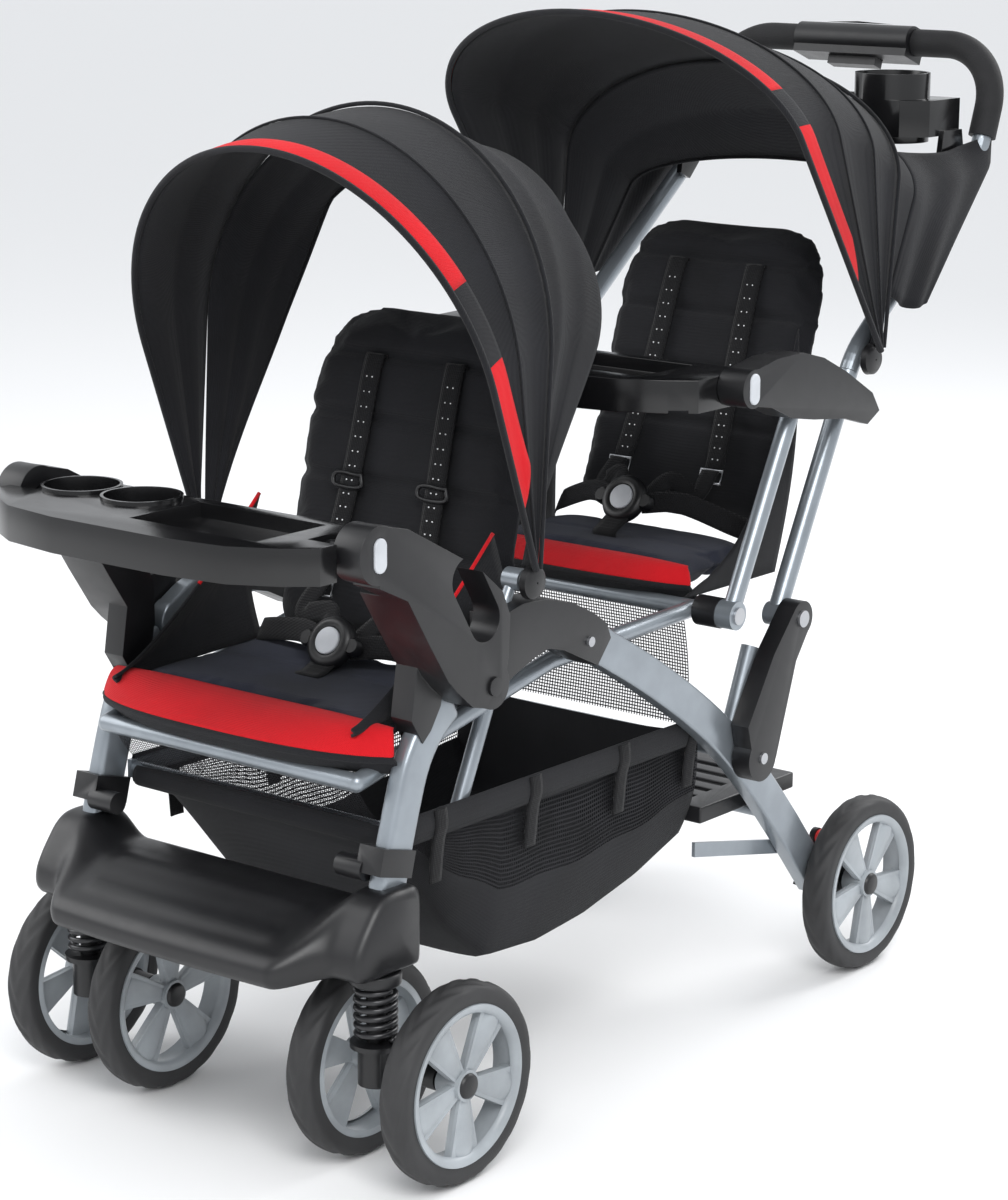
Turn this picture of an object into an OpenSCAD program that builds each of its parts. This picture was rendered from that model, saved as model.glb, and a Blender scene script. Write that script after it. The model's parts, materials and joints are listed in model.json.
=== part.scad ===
// Tandem double stroller: a front seat and a rear sit-or-stand seat on one folding frame.
// Millimetres. +Z is up, -Y is the front, +X is the child's left.
// The side frames are drawn with Y = 0 at the front axle, then moved so that the origin is
// the middle of the object's footprint on the ground.

/* [Wheels] */
// Outer radius of every wheel
wheel_r = 98; // [80:1:110]
// Width of a tyre
tyre_w = 32; // [24:1:38]
// Radius of the seat between rim and tyre
rim_r = 78.5; // [60:0.5:84]
// Radius of the hub
hub_r = 15; // [12:0.5:18]
// Axle radius
axle_r = 5; // [4:0.5:6]
// Distance from a caster's middle to the middle of each of its two wheels
twin_offset = 57.5; // [50:0.5:62]
// How far the swivel axis stands ahead of the front axle
caster_trail = 48; // [36:1:52]

/* [Frame] */
// Distance from the front axle to the rear axle
wheelbase = 743; // [735:1:800]
// Distance from the middle plane to each side frame
frame_x = 188; // [182:1:200]
// Leg and arch tube, size across in the side plane
leg_w = 38; // [30:1:40]
// Leg and arch tube, thickness across the stroller
leg_t = 20; // [16:1:21]
// Handle, seat and cross tube diameter
tube_d = 21; // [18:0.5:22]
// Rear armrest tube diameter
arm_d = 19; // [16:0.5:20]

/* [Handle] */
// Height of the handle bar above the ground
handle_h = 1002; // [960:1:1040]
// Foam grip diameter
grip_d = 31; // [27:0.5:33]
// Half length of the handle console
console_half = 76; // [60:1:90]
// Radius of the handle's two corners
handle_corner_r = 70; // [50:1:90]

/* [Seats] */
// Height of the front seat pad's top at its front edge
front_seat_h = 422; // [412:1:430]
// Height of the rear seat pad's top
rear_seat_h = 488; // [480:1:500]
// Thickness of both seat pads
pad_t = 30; // [20:1:34]
// Thickness of the seat backs
back_t = 28; // [20:1:34]
// Length of the front seat back
front_back_l = 345; // [300:1:360]
// Length of the rear seat back
rear_back_l = 345; // [300:1:360]

/* [Trays and armrests] */
// Radius inside the child tray's cup wells
child_cup_r = 36; // [30:1:38]
// Depth of the child tray's cup wells
child_cup_depth = 24; // [14:1:28]
// Radius inside the parent tray's cup wells
parent_cup_r = 38; // [32:1:40]
// Width of an armrest casting across the stroller
armrest_w = 32; // [29:1:36]
// Long and short size of a tray button
button_l = 32; // [24:1:34]
button_w = 16; // [12:1:18]

/* [Canopies] */
// Half width of the front canopy
front_hood_half = 223; // [215:1:228]
// Height of the front canopy above its pivot
front_hood_h = 420; // [380:1:430]
// Half width of the rear canopy
rear_hood_half = 227; // [220:1:230]
// Length of the rear canopy's front bow
rear_hood_h = 450; // [420:1:460]
// Thickness of the canopy cloth with its bow
hood_t = 4; // [3:0.5:6]

/* [Fits] */
// Radial clearance of a shaft in its hole
run_fit = 0.05; // [0.02:0.01:0.1]
// Gap between two fixed pieces that seat together
seat_fit = 0.1; // [0.05:0.05:0.3]
// Gap between two moving pieces that pass each other
side_gap = 1; // [0.6:0.1:2]

/* [Hidden] */

$fn = 48;

// Places in the side plane, as [y, z] with y = 0 at the front axle.
front_axle = [0, wheel_r];
rear_axle = [wheelbase, wheel_r];
leg_pivot = [73, 462];
arch_path = [leg_pivot, [160, 522], [400, 392], [560, 270], [rear_axle[0] - 52, rear_axle[1] + 11]];
leg_path = [[57, 446], [14, 424], [-18, 330], [-32, 275]];
handle_pivot = [604, 426];
handle_lean = 62.5;
handle_dir = [cos(handle_lean), sin(handle_lean)];
arm_len = 236;
arm_pivot = [487, 450];
armrest_pivot = handle_pivot + arm_len * handle_dir;
arm_top = arm_pivot + arm_len * handle_dir;
handle_knee = handle_pivot + 298 * handle_dir;
grip_lean = 70;
grip_dir = [cos(grip_lean), sin(grip_lean)];
grip_rise = handle_corner_r + 60;
grip_base = [985, handle_h - grip_rise * sin(grip_lean)];
front_tray_pivot = [-88, 613];
rear_tray_pivot = [489, 687];
lock_hub = [535, 288];
front_back_pivot = [172, front_seat_h + 16];
rear_back_pivot = [664, rear_seat_h + 4];
front_hood_pivot = [150, 545];
rear_hood_pivot = [742, 685];
brake_pivot = [rear_axle[0] - 30, rear_axle[1] + 52];

// Places across the stroller.
leg_in = frame_x - leg_t / 2;
leg_out = frame_x + leg_t / 2;
tube_out = frame_x + tube_d / 2;
arm_x = tube_out + side_gap + arm_d / 2;
armrest_in = leg_out + 1.6;
armrest_out = armrest_in + armrest_w;
rail_x = 162;
rail_d = 18;
seat_half = rail_x - rail_d / 2 - side_gap;
caster_x = frame_x + 1.5;
rear_wheel_x = leg_out + 1.5 + tyre_w / 2;
caster_y = -caster_trail;

// Overall reach in Y, which sets the origin.
tray_front = -196;
console_deep = 46;
console_high = 34;
console_back = grip_base[0] + grip_rise * cos(grip_lean)
    + (console_deep - console_high) / 2 * sin(grip_lean) + console_high / 2;
mid_y = (tray_front + console_back) / 2;

// Suspension and caster sizes.
stem_r = 9;
spring_r = 24.5;
spring_wire = 6;
spring_low = 140;
spring_high = 196;
stem_low = spring_low - 28;
cup_top = 209;
footrest_low = cup_top + side_gap;
swivel_top = 262;

button_depth = 8;
button_gap = 0.3;
tray_shaft_r = 7;
skirt_t = 10;

// ---------- helpers ----------
module both() { children(); mirror([1, 0, 0]) children(); }
module on_frame() translate([0, -mid_y, 0]) children();
// Draws a side-plane outline and gives it thickness from x0 to x1.
module plate(x0, x1) translate([x0, 0, 0]) rotate([90, 0, 90]) linear_extrude(x1 - x0) children();
module cross_pin(p, r, x0, x1) translate([x0, p[0], p[1]]) rotate([0, 90, 0]) cylinder(r = r, h = x1 - x0);
module rod(p, q, d) {
    v = q - p;
    translate(p) rotate([0, acos(v[2] / norm(v)), atan2(v[1], v[0])]) cylinder(h = norm(v), d = d);
}
module side_rod(p, q, x, d) rod([x, p[0], p[1]], [x, q[0], q[1]], d);
module box(a, b) translate(a) cube(b - a);
module dot(p, r) translate(p) circle(r = r);
module stadium(l, w) {
    square([l - w, w], center = true);
    for (s = [-1, 1]) translate([s * (l - w) / 2, 0]) circle(d = w);
}
// The points of a bend at corner i of a side-plane path, starting and ending t away from the corner.
bend_steps = 5;
function course(p, i) = (p[i + 1] - p[i]) / norm(p[i + 1] - p[i]);
function bend(p, i, t) = [for (k = [0:bend_steps]) let (s = k / bend_steps)
    p[i] - (1 - s) * (1 - s) * t * course(p, i - 1) + s * s * t * course(p, i)];
// A round bar of radius r swept along side-plane points.
bar_sides = 24;
module swept_bar(c, x, r) {
    n = bar_sides;
    rings = [for (i = [0:len(c) - 1]) for (k = [0:n - 1]) let (p = beside(c, i, r * sin(k * 360 / n)))
        [x + r * cos(k * 360 / n), p[0], p[1]]];
    skin = [for (i = [0:len(c) - 2]) for (k = [0:n - 1]) let (q = i * n, e = (k + 1) % n)
        [q + k, q + e, q + n + e, q + n + k]];
    ends = [[for (k = [n - 1:-1:0]) k], [for (k = [0:n - 1]) (len(c) - 1) * n + k]];
    polyhedron(points = rings, faces = concat(skin, ends));
}
// A smooth curve that follows a list of points, and the outline of a bar of width w along it.
curve_steps = 8;
function knot(p, i) = i == 0 ? p[0] : i == len(p) - 2 ? p[len(p) - 1] : (p[i] + p[i + 1]) / 2;
function curve(p) = [p[0], for (i = [1:len(p) - 2]) for (k = [1:curve_steps]) let (t = k / curve_steps)
    (1 - t) * (1 - t) * knot(p, i - 1) + 2 * t * (1 - t) * p[i] + t * t * knot(p, i)];
function along(c, i) = let (v = c[min(i + 1, len(c) - 1)] - c[max(i - 1, 0)]) v / norm(v);
function beside(c, i, d) = let (a = along(c, i)) c[i] + d * [-a[1], a[0]];
function bar_outline(p, w) = let (c = curve(p), n = len(c))
    concat([for (i = [0:n - 1]) beside(c, i, w / 2)], [for (i = [n - 1:-1:0]) beside(c, i, -w / 2)]);
module leg_bar(p, grow) plate(leg_in - grow, leg_out + grow) polygon(bar_outline(p, leg_w + 2 * grow));
module arch_tube(grow = 0) leg_bar(arch_path, grow);
module leg_tube(grow = 0) leg_bar(leg_path, grow);

// A cloth hood between bows. Each bow is [angle, height, half width, straight part] about the pivot.
hood_steps = 24;
hood_foot = 14;
function bow_point(b, k) =
    let (t = k / hood_steps, u = 180 * (t - 0.14) / 0.72, rise = b[1] - b[3])
    t < 0.14 ? [b[2], hood_foot + (b[3] - hood_foot) * t / 0.14] :
    t > 0.86 ? [-b[2], hood_foot + (b[3] - hood_foot) * (1 - t) / 0.14] :
    [b[2] * cos(u), b[3] + rise * sin(u)];
function bow_place(b, k, piv) =
    let (p = bow_point(b, k)) [p[0], piv[0] + p[1] * cos(b[0]), piv[1] + p[1] * sin(b[0])];
function thin(b, t) = [b[0], b[1] - t, b[2] - t, b[3]];
module hood(bows, piv, t) {
    n = hood_steps + 1;
    m = len(bows);
    outer = [for (b = bows) for (k = [0:hood_steps]) bow_place(b, k, piv)];
    inner = [for (b = bows) for (k = [0:hood_steps]) bow_place(thin(b, t), k, piv)];
    nn = m * n;
    skin = [for (j = [0:m - 2]) for (k = [0:hood_steps - 1]) let (q = j * n + k)
        each [[q, q + 1, q + n], [q + 1, q + n + 1, q + n]]];
    lining = [for (f = skin) [f[2] + nn, f[1] + nn, f[0] + nn]];
    ends = [for (j = [0, m - 1]) for (k = [0:hood_steps - 1]) let (q = j * n + k)
        each (j == 0 ? [[q, q + nn, q + 1], [q + 1, q + nn, q + 1 + nn]]
                     : [[q, q + 1, q + nn], [q + 1, q + 1 + nn, q + nn]])];
    tips = [for (k = [0, hood_steps]) for (j = [0:m - 2]) let (q = j * n + k)
        each (k == 0 ? [[q, q + n, q + nn], [q + n, q + n + nn, q + nn]]
                     : [[q, q + nn, q + n], [q + n, q + nn, q + n + nn]])];
    polyhedron(points = concat(outer, inner), faces = concat(skin, lining, ends, tips));
}

// ---------- chassis ----------
module rear_arches() color("silver") both() difference() {
    union() { arch_tube(); cross_pin(leg_pivot, leg_w / 2 + 1, leg_in, leg_out); }
    cross_pin(leg_pivot, axle_r + run_fit, leg_in - 1, leg_out + 1);
}

cover_outline = [[106, 448], [127, 458], [157, 469], [180, 474], [203, 468], [235, 453], [258, 442],
    [279, 466], [272, 482], [251, 496], [218, 512], [179, 523], [141, 526], [106, 519]];
module arch_covers() color("#1c1c1e") both() difference() {
    plate(leg_in - 4, leg_out + 14) polygon(cover_outline);
    arch_tube(seat_fit);
}

seat_rail_front = [-42, front_seat_h - pad_t - rail_d / 2 - 1];
seat_rail_mid = [244, 441];
module seat_frame() color("silver") {
    both() {
        rod([rail_x, seat_rail_front[0], seat_rail_front[1]], [rail_x, seat_rail_mid[0], seat_rail_mid[1]], rail_d);
        rod([rail_x, seat_rail_mid[0], seat_rail_mid[1]], [rail_x, arm_pivot[0], arm_pivot[1]], rail_d);
        translate([rail_x, seat_rail_mid[0], seat_rail_mid[1]]) sphere(d = rail_d);
        translate([rail_x, seat_rail_front[0], seat_rail_front[1]]) sphere(d = rail_d);
        rod([rail_x, 104, basket_rail_h], [rail_x, 150, 424], rail_d - 2);
    }
    for (p = [seat_rail_front, arm_pivot]) cross_pin(p, rail_d / 2, -rail_x, rail_x);
}

basket_rail_h = 324;
basket_front = -2;
basket_rail_end = 470;
strut_in = rail_x + rail_d / 2 + 0.4;
strut_t = 5;
module basket_rails() color("silver") {
    both() box([strut_in, basket_front, basket_rail_h - 9], [strut_in + strut_t, basket_rail_end, basket_rail_h + 9]);
    cross_pin([basket_front + 8, basket_rail_h], 7, -strut_in, strut_in);
}

platform_top = 231;
platform_t = 18;
platform_half = 168;
module rear_cross_tubes() color("silver") {
    cross_pin(lock_hub, 8, -leg_in, leg_in);
    cross_pin([612, platform_top - platform_t - 9], 9, -leg_in, leg_in);
    both() {
        // flat stay from the arch foot forward under the platform
        plate(leg_in - 5, leg_in - 1) polygon([[478, 184], [478, 200], [655, 161], [655, 145]]);
        difference() {
            rod([frame_x, 522, 318], [frame_x, 556, 400], leg_t - 1);
            arch_tube(seat_fit);
        }
    }
}

module pivot_housings() color("#1c1c1e") both() {
    difference() {
        plate(armrest_in, armrest_in + 22) union() {
            dot(lock_hub, 25);
            dot(handle_pivot, 19);
            polygon([[514, 302], [507, 327], [552, 397], [590, 439], [622, 420], [594, 382], [560, 283]]);
        }
        cross_pin(handle_pivot, axle_r + run_fit, armrest_in - 1, armrest_in + 30);
    }
    difference() {
        cross_pin(arm_pivot, 16, rail_x + rail_d / 2 + seat_fit, tube_out + side_gap - 0.4);
        cross_pin(arm_pivot, axle_r + run_fit, rail_x, arm_x);
    }
}

module standing_platform() color("#2b2b2e") difference() {
    box([-platform_half, 500, platform_top - platform_t], [platform_half, 677, platform_top]);
    box([-platform_half + 8, 508, platform_top - platform_t - 1], [platform_half - 8, 669, platform_top - 6]);
    for (k = [-2:2]) for (s = [-1, 1])
        box([s * 84 - 52, 588 + k * 28 - 5, platform_top - 8], [s * 84 + 52, 588 + k * 28 + 5, platform_top + 1]);
}

module rear_axle_housings() color("#1c1c1e") both() difference() {
    union() {
        plate(leg_in - 5, leg_out + 0.2) union() {
            dot(rear_axle, 19);
            polygon([[rear_axle[0] - 70, rear_axle[1] + 6], [rear_axle[0] - 46, rear_axle[1] + 42],
                [rear_axle[0] - 22, rear_axle[1] + 36], [rear_axle[0] + 17, rear_axle[1] + 9],
                [rear_axle[0] + 4, rear_axle[1] - 18], [rear_axle[0] - 30, rear_axle[1] - 14]]);
        }
        plate(leg_in - 5, leg_in + 1) union() {
            dot(brake_pivot, 10);
            polygon([brake_pivot + [-10, -24], brake_pivot + [-10, 0], brake_pivot + [10, 0], brake_pivot + [12, -24]]);
        }
    }
    arch_tube(seat_fit);
    cross_pin(rear_axle, axle_r + seat_fit, leg_in - 6, leg_out + 1);
    cross_pin(brake_pivot, 3 + run_fit, leg_in - 6, leg_in + 2);
}

module bolt(p, x0, x1, r) { cross_pin(p, r, x0, x1); cross_pin(p, r + 4, x1, x1 + 2.5); }
module frame_bolts() color("#8d9094") both() {
    bolt(rear_axle, leg_in - 5, rear_wheel_x + tyre_w / 2 - 2 + 0.3, axle_r);
    bolt(handle_pivot, leg_in - 1, armrest_in + 22, axle_r);
    bolt(arm_pivot, rail_x + rail_d / 2 + seat_fit, arm_x + arm_d / 2 + 0.5, axle_r);
    cross_pin([244, 469], 5, leg_out + 14, leg_out + 17);
    cross_pin(lock_hub, 6, armrest_in + 22, armrest_in + 24.5);
}

basket_back = 496;
basket_start = basket_front + 16;
basket_drop = 5;
basket_half = strut_in - 3;
module basket_outline() polygon([[basket_start, 0], [basket_start, -8], [168, -176], [330, -168], [basket_back, -120], [basket_back, 0]]);
module basket() color("#222224") translate([0, 0, basket_rail_h - basket_drop]) difference() {
    plate(-basket_half, basket_half) basket_outline();
    plate(-basket_half + 3, basket_half - 3) translate([0, 3]) offset(delta = -3) basket_outline();
    box([-basket_half + 3, basket_start + 4, -8], [basket_half - 3, basket_back - 4, 1]);
}

front_lip_half = 188;
module front_seat_pad() color("#2d3140") {
    top = front_seat_h;
    plate(-seat_half, seat_half)
        polygon([[-33, top - pad_t + 2], [-33, top], [60, top + 8], [168, top + 4], [168, top - pad_t + 22], [60, top - pad_t + 12]]);
    plate(-front_lip_half, front_lip_half)
        polygon([[-58, top - 20], [-54, top - 6], [-33, top], [-33, top - pad_t + 2], [-50, top - pad_t + 2]]);
}
module rear_seat_pad() color("#2d3140") {
    top = rear_seat_h;
    plate(-seat_half + 4, seat_half - 4) polygon([[478, top - 16], [488, top], [655, top], [655, top - pad_t + 2], [488, top - pad_t + 2]]);
}

module front_canopy_posts() color("silver") both() {
    difference() {
        union() {
            rod([frame_x + 3, 132, 515], [frame_x + 3, front_hood_pivot[0], front_hood_pivot[1]], 12);
            cross_pin(front_hood_pivot, 11, frame_x - 3, front_hood_half - hood_t - front_nest - 0.5);
        }
        plate(leg_in - 4 - seat_fit, leg_out + 14 + seat_fit) polygon(cover_outline);
    }
}

front_bow = [110, front_hood_h + 8, front_hood_half, 200];
front_mid_bow = [86, front_hood_h + 14, front_hood_half, 210];
front_back_bow = [68, front_hood_h + 16, front_hood_half - 4, 225];
front_nest = 14;
rear_nest = 5;
function shrink(b, by) = [b[0], b[1] - by, b[2] - by, b[3]];
module front_canopy_rear_panel() color("#252527")
    hood([shrink(front_mid_bow, front_nest), shrink([77, front_hood_h + 15, front_hood_half - 2, 218], front_nest),
        shrink(front_back_bow, front_nest)], front_hood_pivot, hood_t);
module front_canopy_hood() color("#252527")
    hood([front_bow, [98, front_hood_h + 11, front_hood_half, 205], front_mid_bow], front_hood_pivot, hood_t);

// ---------- front frame: legs, footrest, armrests ----------
module front_legs() color("silver") both() leg_tube();

module footrest() color("#1c1c1e") {
    difference() {
        union() {
            both() plate(frame_x - 24, frame_x + 26)
                polygon([[-8, footrest_low], [-8, 284], [-58, 288], [-92, 250], [-100, 226], [-84, footrest_low]]);
            plate(-frame_x + 24, frame_x - 24)
                polygon([[-14, 246], [-14, 262], [-62, 262], [-112, 236], [-126, 222], [-118, 212], [-100, 222], [-60, 246]]);
        }
        both() leg_tube(seat_fit);
        both() translate([caster_x, caster_y, footrest_low - 1]) cylinder(r = stem_r + run_fit, h = swivel_top - footrest_low + 2);
    }
}

armrest_outline = [[62, 443], [42, 448], [20, 466], [6, 480], [-23, 523], [-50, 565], [-88, 583], [-88, 640],
    [-50, 631], [-8, 609], [48, 580], [85, 550], [96, 526], [94, 486], [86, 452]];
module armrest_hole(grow = 0) {
    translate([46, 549]) rotate(-58) stadium(92 + 2 * grow, 42 + 2 * grow);
}
module front_armrests() color("#1c1c1e") both() difference() {
    union() {
        plate(armrest_in, armrest_out) difference() {
            union() { polygon(armrest_outline); dot(front_tray_pivot, 27); dot(leg_pivot, 22); }
            armrest_hole();
        }
        // inner cheek that wraps the top of the leg tube
        plate(leg_in - 4, armrest_in) polygon([[38, 462], [20, 466], [6, 480], [-23, 523], [-50, 565], [-40, 585], [20, 560], [38, 500]]);
        plate(leg_in - 4, armrest_in) polygon([[34, 446], [38, 470], [0, 490], [-8, 440], [8, 415], [20, 425]]);
    }
    leg_tube(seat_fit);
    cross_pin(leg_pivot, axle_r + seat_fit, armrest_in - 1, armrest_out + 1);
    button_pocket(front_tray_pivot);
}

module leg_fittings() {
    color("#8d9094") both() bolt(leg_pivot, leg_in, armrest_out, axle_r);
    color("#1c1c1e") both() difference() {
        union() {
            plate(leg_in - 7, leg_out + 3) translate([-29, 309]) rotate(-15) square([46, 26], center = true);
            cross_pin([-46, 303], 11, 146, leg_in);
        }
        leg_tube(seat_fit);
    }
}

// ---------- front seat back and harnesses ----------
module seat_back(p, lean, l, half) {
    translate([0, p[0], p[1]]) rotate([-lean, 0, 0]) rotate([90, 0, 0]) translate([0, 0, -back_t])
        linear_extrude(back_t) polygon([[-half, 24], [-half + 12, 12], [-half + 12, 0], [half - 12, 0], [half - 12, 12],
            [half, 24], [half, l * 0.62], [half - 36, l - 14], [half - 64, l],
            [-half + 64, l], [-half + 36, l - 14], [-half, l * 0.62]]);
}
front_back_lean = 13;
rear_back_lean = 18;
module front_seat_back() color("#252527") seat_back(front_back_pivot, front_back_lean, front_back_l, 158);
module rear_seat_back() color("#252527") seat_back(rear_back_pivot, rear_back_lean, rear_back_l, 150);

strap_w = 30;
strap_t = 2.4;
module harness(p, lean, buckle) {
    translate([0, p[0], p[1]]) rotate([-lean, 0, 0]) for (s = [-1, 1])
        translate([s * 62 - strap_w / 2, -strap_t - 0.5, 30]) cube([strap_w, strap_t, 230]);
    translate(buckle) rotate([60, 0, 0]) difference() {
        cylinder(r = 27, h = 14);
        translate([0, 0, 8]) cylinder(r = 14 + button_gap, h = 10);
    }
}
front_buckle = [14, 96, front_seat_h + 40];
rear_buckle = [0, 590, rear_seat_h + 38];
module front_harness() color("#161617") harness(front_back_pivot, front_back_lean, front_buckle);
module rear_harness() color("#161617") harness(rear_back_pivot, rear_back_lean, rear_buckle);
module buckle_button(buckle) translate(buckle) rotate([60, 0, 0]) translate([0, 0, 10.5]) cylinder(r = 14, h = 5);
module front_buckle_button() color("#a9adb3") buckle_button(front_buckle);
module rear_buckle_button() color("#a9adb3") buckle_button(rear_buckle);

// ---------- casters and wheels ----------
module side_of(s) if (s > 0) children(); else mirror([1, 0, 0]) children();
module caster_stem() color("#1c1c1e") translate([caster_x, caster_y, 0]) {
    translate([0, 0, stem_low]) cylinder(r = stem_r, h = swivel_top - stem_low);
    translate([0, 0, spring_high]) cylinder(r = spring_r, h = cup_top - spring_high);
}
spring_turns = 5;
module caster_spring() color("#232325") translate([caster_x, caster_y, spring_low + 0.2]) {
    pitch = (spring_high - spring_low - 0.4 - spring_wire) / (spring_turns - 1);
    rotate_extrude() {
        for (k = [0:spring_turns - 1]) translate([spring_r - spring_wire, spring_wire / 2 + k * pitch]) circle(d = spring_wire);
        translate([spring_r - spring_wire - 1, spring_wire / 2]) square([2, (spring_turns - 1) * pitch]);
    }
}
fork_half = 20;
module caster_fork() color("#1c1c1e") difference() {
    union() {
        translate([caster_x, caster_y, stem_low - 14]) cylinder(r = 17, h = spring_low - stem_low + 14);
        translate([caster_x, caster_y, spring_low - 5]) cylinder(r = spring_r, h = 5);
        plate(caster_x - fork_half + 6, caster_x + fork_half - 6) union() {
            dot(front_axle, 15);
            polygon([[caster_y - 10, 100], [caster_y - 10, 134], [caster_y + 12, 134], [9, 110], [2, 83], [-8, 85]]);
        }
        cross_pin(front_axle, 13, caster_x - twin_offset + tyre_w / 2 + 2, caster_x + twin_offset - tyre_w / 2 - 2);
        cross_pin(front_axle, axle_r, caster_x - twin_offset - tyre_w / 2 + 6, caster_x + twin_offset + tyre_w / 2 - 6);
    }
    translate([caster_x, caster_y, stem_low - 13]) cylinder(r = stem_r + run_fit, h = 60);
}

module wheel_place(x, axle) translate([x, axle[0], axle[1]]) rotate([0, 90, 0]) children();
module tyre() color("#1f1f20") rotate_extrude($fn = 96) difference() {
    union() {
        translate([rim_r, -tyre_w / 2]) square([wheel_r - rim_r - 8, tyre_w]);
        translate([wheel_r - 8 - 0.01, 0]) polygon([[0, -tyre_w / 2], [5, -tyre_w / 2 + 3], [8, -tyre_w / 2 + 8],
            [8, tyre_w / 2 - 8], [5, tyre_w / 2 - 3], [0, tyre_w / 2]]);
    }
}
spokes = 5;
rim_wall = 7;
module rim() color("#b4b7bb") difference() {
    union() {
        rotate_extrude($fn = 96) translate([rim_r - rim_wall, -tyre_w / 2 + 2]) square([rim_wall - 0.05, tyre_w - 4]);
        cylinder(r = hub_r, h = tyre_w - 4, center = true);
        for (k = [0:spokes - 1]) rotate([0, 0, k * 360 / spokes]) translate([0, 0, 1])
            linear_extrude(9) polygon([[hub_r - 4, -7], [rim_r - rim_wall - 6, -19], [rim_r - 5, -20],
                [rim_r - 5, 20], [rim_r - rim_wall - 6, 19], [hub_r - 4, 7]]);
    }
    cylinder(r = axle_r + run_fit, h = tyre_w + 2, center = true);
}
// The finished face of a wheel looks away from what carries it.
module front_wheel(side, out) side_of(side) wheel_place(caster_x + out * twin_offset, front_axle)
    rotate([0, out > 0 ? 0 : 180, 0]) children();
module rear_wheel(side) side_of(side) wheel_place(rear_wheel_x, rear_axle) children();

brake_len = 56;
module brake_pedal() color("#c3372f") difference() {
    union() {
        cross_pin(brake_pivot, 8, leg_in + 1.4, leg_out);
        plate(leg_in + 1.4, leg_out) polygon([brake_pivot + [2, -4], brake_pivot + [0, 8],
            brake_pivot + [brake_len - 8, 10], brake_pivot + [brake_len, 4], brake_pivot + [brake_len - 6, 2]]);
        cross_pin(brake_pivot, 3, leg_in - 5, leg_in + 2);
    }
}

// ---------- handle frame ----------
module in_grip_plane() translate([0, grip_base[0], grip_base[1]]) rotate([grip_lean, 0, 0]) children();
corner_x = frame_x - handle_corner_r;
corner_u = grip_rise - handle_corner_r;
module grip_loop(half, low) {
    both() {
        translate([frame_x, low, 0]) rotate([-90, 0, 0]) linear_extrude(corner_u - low) children();
        translate([corner_x, corner_u, 0]) rotate_extrude(angle = 90) translate([handle_corner_r, 0]) children();
        translate([half, grip_rise, 0]) rotate([0, 90, 0]) linear_extrude(corner_x - half) children();
    }
}
bend_reach = 22;
joint_gap = 0.3;
handle_path = [handle_pivot, handle_knee, grip_base, grip_base + corner_u * grip_dir];
module handle_tube() color("silver") difference() {
    union() {
        both() {
            side_rod(handle_pivot, handle_knee - (bend_reach + joint_gap) * handle_dir, frame_x, tube_d);
            cross_pin(handle_pivot, tube_d / 2 + 2, leg_in, leg_out);
            swept_bar(concat(bend(handle_path, 1, bend_reach), bend(handle_path, 2, bend_reach)), frame_x, tube_d / 2);
        }
        in_grip_plane() {
            both() translate([frame_x, bend_reach + joint_gap, 0]) rotate([-90, 0, 0])
                cylinder(d = tube_d, h = corner_u - bend_reach - joint_gap);
            both() translate([corner_x, corner_u, 0]) rotate_extrude(angle = 90)
                translate([handle_corner_r, 0]) circle(d = tube_d);
            translate([-corner_x, grip_rise, 0]) rotate([0, 90, 0]) cylinder(d = tube_d, h = 2 * corner_x);
        }
    }
    both() cross_pin(handle_pivot, axle_r + run_fit, leg_in - 2, tube_out + 1);
}
module handle_grips() color("#1d1d1f") in_grip_plane()
    grip_loop(console_half + 1, 26) difference() { circle(d = grip_d); circle(d = tube_d + 2 * seat_fit); }

trigger_w = 64;
module handle_console() color("#202023") in_grip_plane() translate([0, grip_rise, 0]) difference() {
    rotate([0, 90, 0]) translate([0, 0, -console_half]) linear_extrude(2 * console_half) union() {
        stadium(console_deep, console_high);
        translate([0, -8]) square([36, 26], center = true);
    }
    rotate([0, 90, 0]) cylinder(d = tube_d + 2 * seat_fit, h = 2 * console_half + 2, center = true);
    box([-trigger_w / 2 - 1, -30, -9], [trigger_w / 2 + 1, -13, 9]);
}
module fold_trigger() color("#2c2c2f") in_grip_plane() translate([0, grip_rise, 0])
    box([-trigger_w / 2, -31, -8], [trigger_w / 2, -21, 8]);

tray_back_y = 972;
ptray_low = 908;
ptray_top = 948;
cup_x = 112;
cup_y = 924;
module parent_tray() color("#19191b") difference() {
    union() {
        difference() {
            box([-171, 884, ptray_low], [171, tray_back_y, ptray_top]);
            for (s = [-1, 1]) translate([s * 171, 884, 0]) rotate([0, 0, 45]) cube([34, 34, 3000], center = true);
        }
        for (s = [-1, 1]) translate([s * cup_x, cup_y, ptray_low - 8]) cylinder(r = parent_cup_r + 4, h = 76);
        both() plate(frame_x - tube_d / 2 - 7, frame_x - tube_d / 2 - 0.2)
            polygon([[930, ptray_low + 6], [tray_back_y - 4, ptray_low + 6], [tray_back_y + 4, 878], [936, 838], [918, 846]]);
    }
    for (s = [-1, 1]) translate([s * cup_x, cup_y, ptray_low - 4]) cylinder(r = parent_cup_r, h = 90);
    box([-62, 894, ptray_low + 4], [62, tray_back_y - 8, ptray_top + 1]);
}

rear_bow = [125, rear_hood_h, rear_hood_half, 300];
rear_seam_bow = [84, 312, 224, 190];
module rear_canopy_hood() color("#252527")
    hood([rear_bow, [112, 396, 227, 262], [98, 342, 226, 222], rear_seam_bow], rear_hood_pivot, hood_t);
module rear_canopy_rear_panel() color("#252527")
    hood([shrink(rear_seam_bow, rear_nest), shrink([66, 280, 221, 180], rear_nest),
        shrink([52, 255, 214, 190], rear_nest)], rear_hood_pivot, hood_t);

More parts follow.
